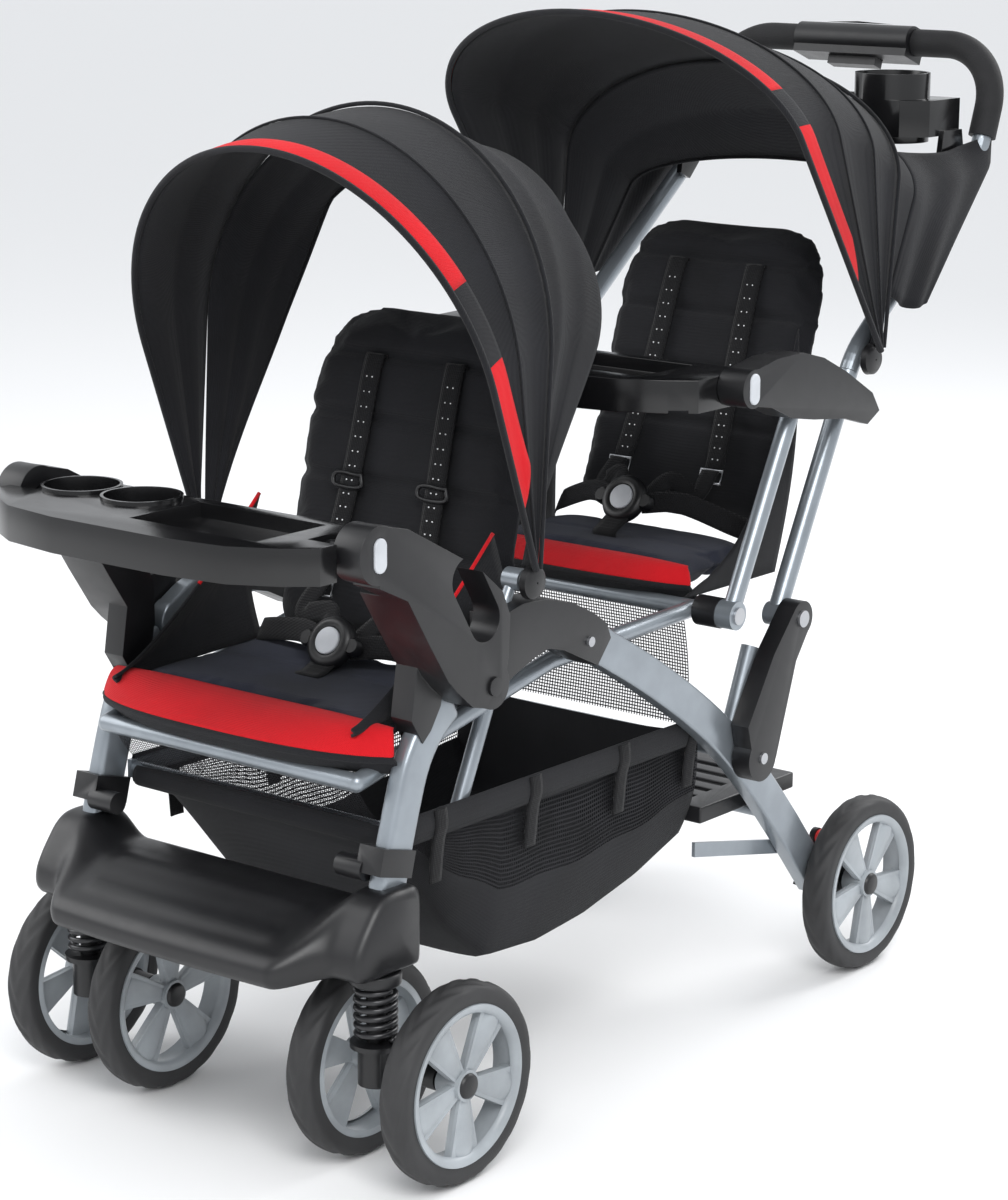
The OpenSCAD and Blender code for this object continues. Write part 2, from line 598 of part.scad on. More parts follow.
// ---------- rear armrests and arm tubes ----------
module rear_arm_tubes() color("silver") both() difference() {
    union() {
        side_rod(arm_pivot, arm_top, arm_x, arm_d);
        cross_pin(arm_pivot, 15, arm_x - arm_d / 2 - 0.3, arm_x + arm_d / 2 + 0.3);
        cross_pin(arm_top, arm_d / 2 + 1, arm_x - arm_d / 2 + 0.5, arm_x + arm_d / 2 - 0.5);
    }
    cross_pin(arm_pivot, axle_r + run_fit, arm_x - arm_d, arm_x + arm_d);
    cross_pin(arm_top, 4.6, arm_x - arm_d, arm_x + arm_d);
}

rear_armrest_outline = [[480, 671], [520, 664], [558, 648], [600, 641], [660, 634], [704, 622], [727, 634],
    [712, 655], [660, 684], [616, 704], [577, 714], [530, 713], [492, 706]];
module rear_armrests() color("#1c1c1e") both() difference() {
    union() {
        difference() {
            plate(armrest_in, armrest_out) union() { polygon(rear_armrest_outline); dot(rear_tray_pivot, 20); }
            // room for the arm tube to swing under the top
            plate(armrest_in - 1, armrest_out - skirt_t)
                polygon([[566, 600], [572, 668], [583, 674], [609, 674], [740, 652], [740, 600]]);
        }
        cross_pin(armrest_pivot, 9, tube_out + 0.4, armrest_out - skirt_t + 1);
        cross_pin(arm_top, 4, arm_x - arm_d / 2 + 1, armrest_out - skirt_t + 1);
    }
    button_pocket(rear_tray_pivot);
}

// ---------- child trays ----------
module button_pocket(p) {
    cross_pin(p, tray_shaft_r + run_fit, armrest_in - 1, armrest_out - button_depth);
    plate(armrest_out - button_depth - 2, armrest_out + 1)
        translate(p) rotate(90) stadium(button_l + 2 * button_gap, button_w + 2 * button_gap);
}
module tray_button(p) color("#a9adb3")
    plate(armrest_out - 5, armrest_out + 2) translate(p) rotate(90) stadium(button_l, button_w);
// Plan outline of a tray, y counted forward from its pivot.
module tray_plan(front, half, wing) {
    polygon([[half, 40], [half, -wing_y], [wing, -wing_y], [wing, -wing_y - 22], [wing - 26, -front + 34],
        [wing - 70, -front + 10], [70, -front], [-70, -front], [-wing + 70, -front + 10],
        [-wing + 26, -front + 34], [-wing, -wing_y - 22], [-wing, -wing_y], [-half, -wing_y], [-half, 40]]);
}
wing_y = 30;
tray_t = 34;
child_cup_wall = 3;
tray_cup_first = 62;
tray_cup_step = 2 * (child_cup_r + child_cup_wall) + 2;
module child_tray(p, front, half, wing) difference() {
    union() {
        translate([0, p[0], p[1] - 22]) linear_extrude(tray_t) tray_plan(front, half, wing);
        both() cross_pin(p, tray_shaft_r, half - 1, armrest_out - button_depth - 2.5);
        for (k = [0, 1]) translate([-wing + tray_cup_first + k * tray_cup_step, p[0] + 4, p[1] - 22])
            cylinder(r = child_cup_r + child_cup_wall, h = tray_t + 4);
    }
    for (k = [0, 1]) translate([-wing + tray_cup_first + k * tray_cup_step, p[0] + 4, p[1] - 18 + tray_t - child_cup_depth])
        cylinder(r = child_cup_r, h = child_cup_depth + 1);
    box([-12, p[0] - 66, p[1] - 2], [wing - 62, p[0] + 26, p[1] + 40]);
    box([-half + 8, p[0] - 70, p[1] - 40], [half - 8, p[0] + 36, p[1] - 19]);
}
module front_tray() color("#161618") child_tray(front_tray_pivot, front_tray_pivot[0] - tray_front, leg_in - 5, armrest_out - 24);
module rear_tray() color("#161618") child_tray(rear_tray_pivot, 106, armrest_in - 0.6, armrest_in - 0.6);

on_frame() rear_arches();
on_frame() arch_covers();
on_frame() seat_frame();
on_frame() basket_rails();
on_frame() rear_cross_tubes();
on_frame() pivot_housings();
on_frame() standing_platform();
on_frame() rear_axle_housings();
on_frame() frame_bolts();
on_frame() basket();
on_frame() front_seat_pad();
on_frame() rear_seat_pad();
on_frame() front_canopy_posts();
on_frame() front_canopy_rear_panel();
on_frame() front_legs();
on_frame() footrest();
on_frame() front_armrests();
on_frame() leg_fittings();
on_frame() front_seat_back();
on_frame() front_harness();
on_frame() front_buckle_button();
on_frame() front_canopy_hood();
on_frame() side_of(1) caster_stem();  // left_caster_stem
on_frame() side_of(-1) caster_stem();  // right_caster_stem
on_frame() side_of(1) caster_spring();  // left_caster_spring
on_frame() side_of(-1) caster_spring();  // right_caster_spring
on_frame() side_of(1) caster_fork();  // left_caster_fork
on_frame() side_of(-1) caster_fork();  // right_caster_fork
on_frame() front_wheel(1, 1) tyre();  // left_outer_front_tyre
on_frame() front_wheel(1, 1) rim();  // left_outer_front_rim
on_frame() front_wheel(1, -1) tyre();  // left_inner_front_tyre
on_frame() front_wheel(1, -1) rim();  // left_inner_front_rim
on_frame() front_wheel(-1, -1) tyre();  // right_inner_front_tyre
on_frame() front_wheel(-1, -1) rim();  // right_inner_front_rim
on_frame() front_wheel(-1, 1) tyre();  // right_outer_front_tyre
on_frame() front_wheel(-1, 1) rim();  // right_outer_front_rim
on_frame() rear_wheel(1) tyre();  // left_rear_tyre
on_frame() rear_wheel(1) rim();  // left_rear_rim
on_frame() rear_wheel(-1) tyre();  // right_rear_tyre
on_frame() rear_wheel(-1) rim();  // right_rear_rim
on_frame() side_of(1) brake_pedal();  // left_brake_pedal
on_frame() side_of(-1) brake_pedal();  // right_brake_pedal
on_frame() handle_tube();
on_frame() handle_grips();
on_frame() handle_console();
on_frame() fold_trigger();
on_frame() parent_tray();
on_frame() rear_seat_back();
on_frame() rear_canopy_rear_panel();
on_frame() rear_canopy_hood();
on_frame() rear_arm_tubes();
on_frame() rear_armrests();
on_frame() rear_tray();
on_frame() side_of(1) tray_button(rear_tray_pivot);  // left_rear_tray_button
on_frame() side_of(-1) tray_button(rear_tray_pivot);  // right_rear_tray_button
on_frame() rear_harness();
on_frame() rear_buckle_button();
on_frame() front_tray();
on_frame() side_of(1) tray_button(front_tray_pivot);  // left_front_tray_button
on_frame() side_of(-1) tray_button(front_tray_pivot);  // right_front_tray_button
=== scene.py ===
import json
import math

import bmesh
import bpy
import numpy as np
from mathutils import Matrix, Vector


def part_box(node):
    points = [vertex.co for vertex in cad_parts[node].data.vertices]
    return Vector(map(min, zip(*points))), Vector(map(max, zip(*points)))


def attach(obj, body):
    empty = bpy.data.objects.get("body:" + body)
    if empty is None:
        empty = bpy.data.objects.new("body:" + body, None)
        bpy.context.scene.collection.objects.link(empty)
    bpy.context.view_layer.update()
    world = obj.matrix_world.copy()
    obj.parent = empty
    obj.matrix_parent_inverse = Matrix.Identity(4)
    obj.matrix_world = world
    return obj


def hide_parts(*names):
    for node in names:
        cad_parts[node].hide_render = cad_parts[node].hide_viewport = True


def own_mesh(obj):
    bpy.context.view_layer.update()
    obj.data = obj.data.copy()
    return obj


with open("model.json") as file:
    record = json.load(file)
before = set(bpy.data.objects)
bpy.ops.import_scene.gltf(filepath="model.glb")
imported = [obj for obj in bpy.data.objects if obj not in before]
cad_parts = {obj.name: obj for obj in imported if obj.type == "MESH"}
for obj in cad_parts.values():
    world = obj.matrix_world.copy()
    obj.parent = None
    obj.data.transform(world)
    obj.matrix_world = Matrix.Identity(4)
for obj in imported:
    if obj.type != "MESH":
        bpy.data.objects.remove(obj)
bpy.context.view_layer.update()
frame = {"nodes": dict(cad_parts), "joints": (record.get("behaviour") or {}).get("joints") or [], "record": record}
JOINT = {j["name"]: j for j in frame["joints"]}
PIVOT = {n: Vector(j["pos_m"]) for n, j in JOINT.items() if "pos_m" in j}
UP = Vector((0, 0, 1))
LEFT = Vector((1, 0, 0))


# ---------- camera, floor, light ----------
# The front axle's place in Y turns side-frame places, which count from it, into row-frame ones.
AXLE_Y = PIVOT["left_outer_front_wheel_spin"].y


def at(x, y, z):
    """A point in metres from side-frame millimetres, with y counted back from the front axle."""
    return Vector((x / 1000, y / 1000 + AXLE_Y, z / 1000))


def make_camera():
    azimuth, elevation, roll = (math.radians(d) for d in (38.66, 13.34, 0.31))
    back = Vector((math.sin(azimuth) * math.cos(elevation), -math.cos(azimuth) * math.cos(elevation),
                   math.sin(elevation)))
    data = bpy.data.cameras.new("camera")
    data.lens = 95.7
    data.sensor_width = 36
    data.clip_end = 50
    cam = bpy.data.objects.new("camera", data)
    bpy.context.scene.collection.objects.link(cam)
    cam.rotation_mode = "QUATERNION"
    cam.rotation_quaternion = (-back).to_track_quat("-Z", "Y") @ Matrix.Rotation(roll, 3, "Z").to_quaternion()
    cam.location = at(2021.4, -2151.1, 1221.3)
    bpy.context.scene.camera = cam


def area_light(name, place, target, power, size):
    data = bpy.data.lights.new(name, "AREA")
    data.energy = power
    data.size = size
    light = bpy.data.objects.new(name, data)
    light.location = place
    light.rotation_mode = "QUATERNION"
    light.rotation_quaternion = (Vector(target) - Vector(place)).to_track_quat("-Z", "Y")
    bpy.context.scene.collection.objects.link(light)


def make_studio():
    mesh = bpy.data.meshes.new("floor")
    s = 40
    mesh.from_pydata([(-s, -s, 0), (s, -s, 0), (s, s, 0), (-s, s, 0)], [], [(0, 1, 2, 3)])
    floor = bpy.data.objects.new("floor", mesh)
    bpy.context.scene.collection.objects.link(floor)
    m = bpy.data.materials.new("floor")
    m.use_nodes = True
    m.node_tree.nodes["Principled BSDF"].inputs["Base Color"].default_value = (0.86, 0.86, 0.86, 1)
    m.node_tree.nodes["Principled BSDF"].inputs["Roughness"].default_value = 0.8
    mesh.materials.append(m)
    world = bpy.data.worlds.new("studio")
    world.use_nodes = True
    world.node_tree.nodes["Background"].inputs[0].default_value = (0.95, 0.97, 1, 1)
    world.node_tree.nodes["Background"].inputs[1].default_value = 0.95
    bpy.context.scene.world = world
    bpy.context.scene.view_settings.view_transform = "Standard"
    area_light("key", (2.2, -2.4, 3.0), (0, 0, 0.5), 95, 2.0)
    area_light("fill", (-2.8, -1.6, 2.2), (0, 0, 0.5), 42, 2.4)
    area_light("rim", (0.6, 3.0, 2.6), (0, 0, 0.6), 70, 2.0)


# ---------- materials ----------
class Nodes:
    """A small writer of shader node trees."""

    def __init__(self, name, **shader):
        self.material = bpy.data.materials.new(name)
        self.material.use_nodes = True
        self.tree = self.material.node_tree
        self.shader = self.tree.nodes["Principled BSDF"]
        for key, value in shader.items():
            self.shader.inputs[key.replace("_", " ")].default_value = value
        self.place = self.add("ShaderNodeTexCoord").outputs["Object"]

    def add(self, kind, inputs=None, **settings):
        node = self.tree.nodes.new(kind)
        for key, value in settings.items():
            setattr(node, key, value)
        for key, value in (inputs or {}).items():
            if isinstance(value, bpy.types.NodeSocket):
                self.tree.links.new(value, node.inputs[key])
            else:
                node.inputs[key].default_value = value
        return node

    def noise(self, scale, detail=4.0, stretch=None):
        place = self.place
        if stretch:
            place = self.add("ShaderNodeMapping", {"Vector": place, "Scale": stretch}).outputs[0]
        return self.add("ShaderNodeTexNoise", {"Vector": place, "Scale": scale, "Detail": detail}).outputs["Fac"]

    def threads(self, pitch):
        """Crossing threads on any surface: the product of waves along the three axes."""
        cells = self.add("ShaderNodeVectorMath", {0: self.place, "Scale": 2 * math.pi / pitch}, operation="SCALE")
        parts = self.add("ShaderNodeSeparateXYZ", {0: cells.outputs[0]})
        waves = [self.add("ShaderNodeMath", {0: parts.outputs[i]}, operation="SINE").outputs[0] for i in range(3)]
        two = self.add("ShaderNodeMath", {0: waves[0], 1: waves[1]}, operation="ADD").outputs[0]
        return self.add("ShaderNodeMath", {0: two, 1: waves[2]}, operation="ADD").outputs[0]

    def ramp(self, fac, low, high, start=0.35, end=0.65):
        node = self.add("ShaderNodeValToRGB", {"Fac": fac})
        node.color_ramp.elements[0].position = start
        node.color_ramp.elements[0].color = (*low, 1)
        node.color_ramp.elements[1].position = end
        node.color_ramp.elements[1].color = (*high, 1)
        return node.outputs["Color"]

    def rough(self, fac, low, high):
        node = self.add("ShaderNodeMapRange", {"Value": fac, "To Min": low, "To Max": high})
        self.tree.links.new(node.outputs[0], self.shader.inputs["Roughness"])

    def bump(self, height, distance, strength=1.0, normal=None):
        inputs = {"Height": height, "Distance": distance, "Strength": strength}
        if normal:
            inputs["Normal"] = normal
        node = self.add("ShaderNodeBump", inputs)
        self.tree.links.new(node.outputs[0], self.shader.inputs["Normal"])
        return node.outputs[0]

    def colour(self, socket):
        self.tree.links.new(socket, self.shader.inputs["Base Color"])


def tint(rgb, f):
    return tuple(min(1.0, c * f) for c in rgb)


def cloth(name, rgb, pitch=0.0011, sheen=0.07, contrast=0.25):
    n = Nodes(name, Sheen_Weight=sheen, Sheen_Roughness=0.45, Specular_IOR_Level=0.25)
    blotch = n.noise(9, 5)
    n.colour(n.ramp(blotch, tint(rgb, 1 - contrast), tint(rgb, 1 + contrast)))
    n.rough(blotch, 0.78, 0.92)
    crease = n.bump(n.noise(26, 6), 0.0016, 0.5)
    n.bump(n.threads(pitch), 0.00022, 0.6, crease)
    return n.material


def moulded(name, rgb, low=0.32, high=0.46, grain=0.00012):
    n = Nodes(name, Specular_IOR_Level=0.5)
    haze = n.noise(14, 5)
    n.colour(n.ramp(haze, tint(rgb, 0.85), tint(rgb, 1.2)))
    n.rough(n.noise(60, 3), low, high)
    n.bump(n.noise(1400, 2), grain, 0.6)
    return n.material


def metal(name, rgb, metallic, low, high):
    n = Nodes(name, Metallic=metallic, Coat_Weight=0.25, Coat_Roughness=0.15)
    n.colour(n.ramp(n.noise(30, 6), tint(rgb, 0.93), tint(rgb, 1.05)))
    n.rough(n.noise(50, 5, (1, 0.25, 0.25)), low, high)
    n.bump(n.noise(900, 2), 0.00005, 0.5)
    return n.material


def foam(name, rgb):
    n = Nodes(name, Specular_IOR_Level=0.3)
    cells = n.add("ShaderNodeTexVoronoi", {"Vector": n.place, "Scale": 620}).outputs["Distance"]
    n.colour(n.ramp(n.noise(40, 4), tint(rgb, 0.8), tint(rgb, 1.3)))
    n.rough(n.noise(40, 4), 0.62, 0.8)
    n.bump(cells, 0.0004, 0.7)
    return n.material


def open_mesh(name, rgb, pitch=0.0034, gap=0.62):
    """Netting: a grid of threads with open cells between them, laid along the piece's UV map in metres."""
    n = Nodes(name, Roughness=0.7, Specular_IOR_Level=0.2)
    uv = n.add("ShaderNodeUVMap", uv_map="cloth").outputs[0]
    parts = n.add("ShaderNodeSeparateXYZ", {0: uv})
    open_part = None
    for axis in range(2):
        turns = n.add("ShaderNodeMath", {0: parts.outputs[axis], 1: 1 / pitch}, operation="MULTIPLY").outputs[0]
        cell = n.add("ShaderNodeMath", {0: turns}, operation="FRACT").outputs[0]
        inside = n.add("ShaderNodeMath", {0: cell, 1: gap}, operation="LESS_THAN").outputs[0]
        open_part = inside if open_part is None else n.add(
            "ShaderNodeMath", {0: open_part, 1: inside}, operation="MULTIPLY").outputs[0]
    solid = n.add("ShaderNodeMath", {0: 1.0, 1: open_part}, operation="SUBTRACT").outputs[0]
    n.tree.links.new(solid, n.shader.inputs["Alpha"])
    n.colour(n.ramp(n.noise(20, 4), tint(rgb, 0.7), tint(rgb, 1.4)))
    return n.material


M = {
    "tube_silver": metal("tube_silver", (0.27, 0.30, 0.33), 0.6, 0.26, 0.36),
    "black_plastic": moulded("black_plastic", (0.0065, 0.0065, 0.0075)),
    "tray_plastic": moulded("tray_plastic", (0.0055, 0.0055, 0.006), 0.14, 0.24, 0.00004),
    "grip_foam": foam("grip_foam", (0.012, 0.012, 0.013)),
    "tyre_rubber": moulded("tyre_rubber", (0.022, 0.022, 0.023), 0.55, 0.7, 0.0003),
    "rim_grey": moulded("rim_grey", (0.30, 0.325, 0.345), 0.28, 0.4, 0.00005),
    "fabric_black": cloth("fabric_black", (0.0095, 0.0098, 0.0120)),
    "fabric_slate": cloth("fabric_slate", (0.022, 0.025, 0.040), contrast=0.35),
    "fabric_red": cloth("fabric_red", (0.60, 0.006, 0.012), sheen=0.05, contrast=0.10),
    "mesh_fabric": open_mesh("mesh_fabric", (0.012, 0.012, 0.014)),
    "webbing": cloth("webbing", (0.007, 0.007, 0.008), 0.0022, 0.08, 0.2),
    "button_grey": moulded("button_grey", (0.50, 0.52, 0.55), 0.3, 0.42, 0.00005),
    "steel": metal("steel", (0.45, 0.46, 0.48), 0.9, 0.28, 0.4),
    "spring_steel": metal("spring_steel", (0.02, 0.02, 0.022), 0.3, 0.25, 0.4),
    "pedal_red": moulded("pedal_red", (0.5, 0.03, 0.03)),
    "dot_white": moulded("dot_white", (0.75, 0.76, 0.78), 0.4, 0.5, 0.00005),
}


BARS = ("front_legs", "rear_arches")
BIG = ("front_legs", "rear_arches", "front_armrests", "rear_armrests", "arch_covers", "footrest", "leg_fittings",
       "pivot_housings")


def dress_cad():
    """Gives every CAD node its procedural material, and softens the edges of the moulded pieces."""
    slot_of = {s["node"]: s["material_slot"] for s in frame["record"]["subparts"]}
    for name, o in frame["nodes"].items():
        o.data.materials.clear()
        o.data.materials.append(M[slot_of[name]])
        if slot_of[name] in ("black_plastic", "tray_plastic", "rim_grey", "button_grey") or name in BARS:
            if name in ("handle_console", "fold_trigger"):
                continue
            weld = o.modifiers.new("weld", "WELD")
            weld.merge_threshold = 0.00002
            flat = o.modifiers.new("flat", "DECIMATE")
            flat.decimate_type = "DISSOLVE"
            flat.angle_limit = math.radians(1)
            bevel = o.modifiers.new("bevel", "BEVEL")
            bevel.width = 0.0016 if "rim" in name or "button" in name else 0.0065 if name in BIG else 0.003
            bevel.segments = 4
            bevel.limit_method = "ANGLE"
            bevel.angle_limit = math.radians(40)
            shade_by_angle(o, 35)


# ---------- mesh helpers ----------
def shade_by_angle(o, degrees=40):
    o.data.shade_smooth()
    sharp = o.data.attributes.get("sharp_edge") or o.data.attributes.new("sharp_edge", "BOOLEAN", "EDGE")
    bm = bmesh.new()
    bm.from_mesh(o.data)
    limit = math.radians(degrees)
    flags = [len(e.link_faces) == 2 and e.calc_face_angle(0) > limit for e in bm.edges]
    bm.free()
    sharp.data.foreach_set("value", flags)


def piece(name, verts, faces, material, body, smooth=True):
    mesh = bpy.data.meshes.new(name)
    mesh.from_pydata([tuple(v) for v in verts], [], [tuple(f) for f in faces])
    mesh.validate()
    bm = bmesh.new()
    bm.from_mesh(mesh)
    bmesh.ops.recalc_face_normals(bm, faces=bm.faces)
    bm.to_mesh(mesh)
    bm.free()
    if smooth:
        mesh.shade_smooth()
    mesh.materials.append(M[material])
    o = bpy.data.objects.new(name, mesh)
    bpy.context.scene.collection.objects.link(o)
    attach(o, body)
    return o


def grid(name, points, material, body, close=False, thick=0.0, smooth_levels=0):
    """A sheet through rows of points. close joins the last column to the first. A UV map holds metres along it."""
    p = np.array(points, float)
    rows, cols = p.shape[:2]
    span = cols if close else cols - 1
    faces = [(r * cols + c, r * cols + (c + 1) % cols, (r + 1) * cols + (c + 1) % cols, (r + 1) * cols + c)
             for r in range(rows - 1) for c in range(span)]
    o = piece(name, p.reshape(-1, 3), faces, material, body)
    across = np.concatenate([[0], np.cumsum(np.linalg.norm(np.diff(p, axis=1), axis=2).mean(0))])
    along = np.concatenate([[0], np.cumsum(np.linalg.norm(np.diff(p, axis=0), axis=2).mean(1))])
    uv = o.data.uv_layers.new(name="cloth")
    for loop in o.data.loops:
        r, c = divmod(loop.vertex_index, cols)
        uv.data[loop.index].uv = (across[c], along[r])
    if smooth_levels:
        sub = o.modifiers.new("smooth", "SUBSURF")
        sub.levels = sub.render_levels = smooth_levels
    if thick:
        solid = o.modifiers.new("thickness", "SOLIDIFY")
        solid.thickness = thick
        solid.offset = 0
    o["size"] = [float(across[-1]), float(along[-1])]
    return o


def declare_sheet(o, held):
    """Reads a sheet's lengths along its mesh and returns the sheet unchanged; nothing is declared."""
    width, length = o["size"]
    return o


def tube(name, path, radius, material, body, sides=12, closed=False, flat=1.0, side=None):
    """A round or oval bar along a path of points. flat is its thickness as a share of its width."""
    path = [Vector(p) for p in path]
    n = len(path)
    rings = []
    ref = Vector(side) if side is not None else None
    for i, p in enumerate(path):
        a = path[(i + 1) % n] if closed or i + 1 < n else p
        b = path[i - 1] if closed or i > 0 else p
        t = (a - b).normalized()
        if side is None:
            if ref is None or abs(ref.dot(t)) > 0.98:
                ref = UP if abs(t.z) < 0.9 else LEFT
            u = t.cross(ref).normalized()
            ref = u.cross(t).normalized()
        else:
            u = (ref - ref.dot(t) * t).normalized()
        v = u.cross(t)
        rings.append([p + radius * (math.cos(w) * u + flat * math.sin(w) * v)
                      for w in (2 * math.pi * k / sides for k in range(sides))])
    verts = [q for ring in rings for q in ring]
    count = n if closed else n - 1
    faces = [(i * sides + k, i * sides + (k + 1) % sides, ((i + 1) % n) * sides + (k + 1) % sides,
              ((i + 1) % n) * sides + k) for i in range(count) for k in range(sides)]
    if not closed:
        faces += [tuple(range(sides)), tuple((n - 1) * sides + k for k in range(sides))]
    return piece(name, verts, faces, material, body)


def smooth_path(points, steps=8):
    """A Catmull-Rom curve through the points."""
    p = [Vector(q) for q in points]
    p = [2 * p[0] - p[1]] + p + [2 * p[-1] - p[-2]]
    out = []
    for i in range(1, len(p) - 2):
        for k in range(steps):
            t = k / steps
            out.append(0.5 * (2 * p[i] + (p[i + 1] - p[i - 1]) * t
                              + (2 * p[i - 1] - 5 * p[i] + 4 * p[i + 1] - p[i + 2]) * t * t
                              + (3 * p[i] - p[i - 1] - 3 * p[i + 1] + p[i + 2]) * t ** 3))
    return out + [p[-2]]


def strap(name, points, width, body, normal, thick=0.0016, material="webbing"):
    """A flat ribbon along a curve, facing normal."""
    path = smooth_path(points)
    n = Vector(normal).normalized()
    rows = []
    for i, p in enumerate(path):
        t = (path[min(i + 1, len(path) - 1)] - path[max(i - 1, 0)]).normalized()
        s = t.cross(n).normalized() * width / 2
        rows.append([p - s, p - s / 2 + n * 0.0004, p + n * 0.0006, p + s / 2 + n * 0.0004, p + s])
    return grid(name, rows, material, body, thick=thick)


def lathe(name, profile, centre, axis, material, body, steps=40, bend=None):
    """A turned piece: profile is (radius, place along axis) pairs. bend(angle, k) may add to the radius."""
    axis = Vector(axis).normalized()
    u = axis.orthogonal().normalized()
    v = axis.cross(u)
    rows = [[Vector(centre) + axis * h + (r + (bend(w, k) if bend else 0)) * (math.cos(w) * u + math.sin(w) * v)
             for w in (2 * math.pi * i / steps for i in range(steps))] for k, (r, h) in enumerate(profile)]
    o = grid(name, rows, material, body, close=True)
    return o


def joined(name, objects):
    """Joins meshes that ride on the same body into one piece."""
    bm = bmesh.new()
    for o in objects:
        bm.from_mesh(o.data)
    bm.to_mesh(objects[0].data)
    bm.free()
    for o in objects[1:]:
        bpy.data.objects.remove(o)
    objects[0].name = name
    return objects[0]


# ---------- fold rules for soft pieces (listed, not applied) -------
TILT = math.radians(45)
REAR_LEAN = math.radians(18)
FOLDS = {
    "front_canopy": dict(axis=UP, anchor=PIVOT["front_canopy_fold"], keep=0.05),
    "rear_canopy": dict(axis=(0, -math.sin(TILT), math.cos(TILT)), anchor=PIVOT["rear_canopy_fold"], keep=0.12),
    "front_back": dict(axis=UP, anchor=PIVOT["front_recline"], keep=0.26),
    "rear_back": dict(axis=(0, math.sin(REAR_LEAN), math.cos(REAR_LEAN)), anchor=PIVOT["rear_recline"], keep=0.8),
    "front_side": dict(axis=UP, anchor=at(0, 0, 425), keep=0.12),
    "rear_side": dict(axis=UP, anchor=at(0, 0, 470), keep=0.1),
    "basket": dict(axis=UP, anchor=at(0, 0, 322), keep=0.25),
    "front_mesh": dict(axis=UP, anchor=at(0, 0, 385), keep=0.3),
}


def give(o, kind):
    """Looks up the fold rule of o's kind without applying it, and gives o its own copy of its mesh."""
    rule = FOLDS[kind]
    tuple(rule["axis"])
    tuple(rule["anchor"])
    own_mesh(o)
    return o


# ---------- canopies ----------
STRAIGHT = 0.14
FOOT = 0.014


def flank(t):
    """How far down the side of a hood share t is: 1 at the end of the straight part, 0 at the foot and the top."""
    m = min(t, 1 - t)
    return math.sin(math.pi * m / 0.30) if m < 0.30 else 0.0


class Canopy:
    """A hood of cloth over bows. Each bow is (angle in degrees, height, half width, straight part), in metres."""

    def __init__(self, pivot, bows, sag=0.003):
        self.pivot = pivot
        self.bows = sorted(bows)
        self.sag = sag

    def bow(self, angle):
        angles = [b[0] for b in self.bows]
        values = [np.interp(angle, angles, [b[i] for b in self.bows]) for i in (1, 2, 3)]
        i = min(max(np.searchsorted(angles, angle) - 1, 0), len(angles) - 2)
        share = (angle - angles[i]) / (angles[i + 1] - angles[i])
        dip = self.sag * math.sin(math.pi * min(max(share, 0), 1))
        return values[0] - dip, values[1] - dip, values[2]

    def point(self, angle, t, out=0.0):
        """The point at share t of the way over the hood, from the left foot to the right one."""
        height, half, straight = self.bow(angle)
        height, half = height + out, half + out
        if t < STRAIGHT:
            x, s = half, FOOT + (straight - FOOT) * t / STRAIGHT
        elif t > 1 - STRAIGHT:
            x, s = -half, FOOT + (straight - FOOT) * (1 - t) / STRAIGHT
        else:
            u = math.pi * (t - STRAIGHT) / (1 - 2 * STRAIGHT)
            x, s = half * math.cos(u), straight + (height - straight) * math.sin(u)
        a = math.radians(angle)
        return self.pivot + Vector((x, s * math.cos(a), s * math.sin(a)))

    def sheet(self, name, low, high, body, out=lambda a: 0.0, flare=0.0):
        """The cloth between two bow angles. flare swings the low edge's sides further, in degrees."""
        rows = [[self.point(a - flare * (high - a) / (high - low) * flank(t), t, out(a))
                 for t in np.linspace(0, 1, 96)] for a in np.linspace(low, high, 26)]
        return grid(name, rows, "fabric_black", body, thick=0.0016)

    def cord(self, name, angle, radius, body, out=0.0, flare=0.0):
        return tube(name, [self.point(angle - flare * flank(t), t, out) for t in np.linspace(0, 1, 90)], radius,
                    "fabric_black", body, 8)


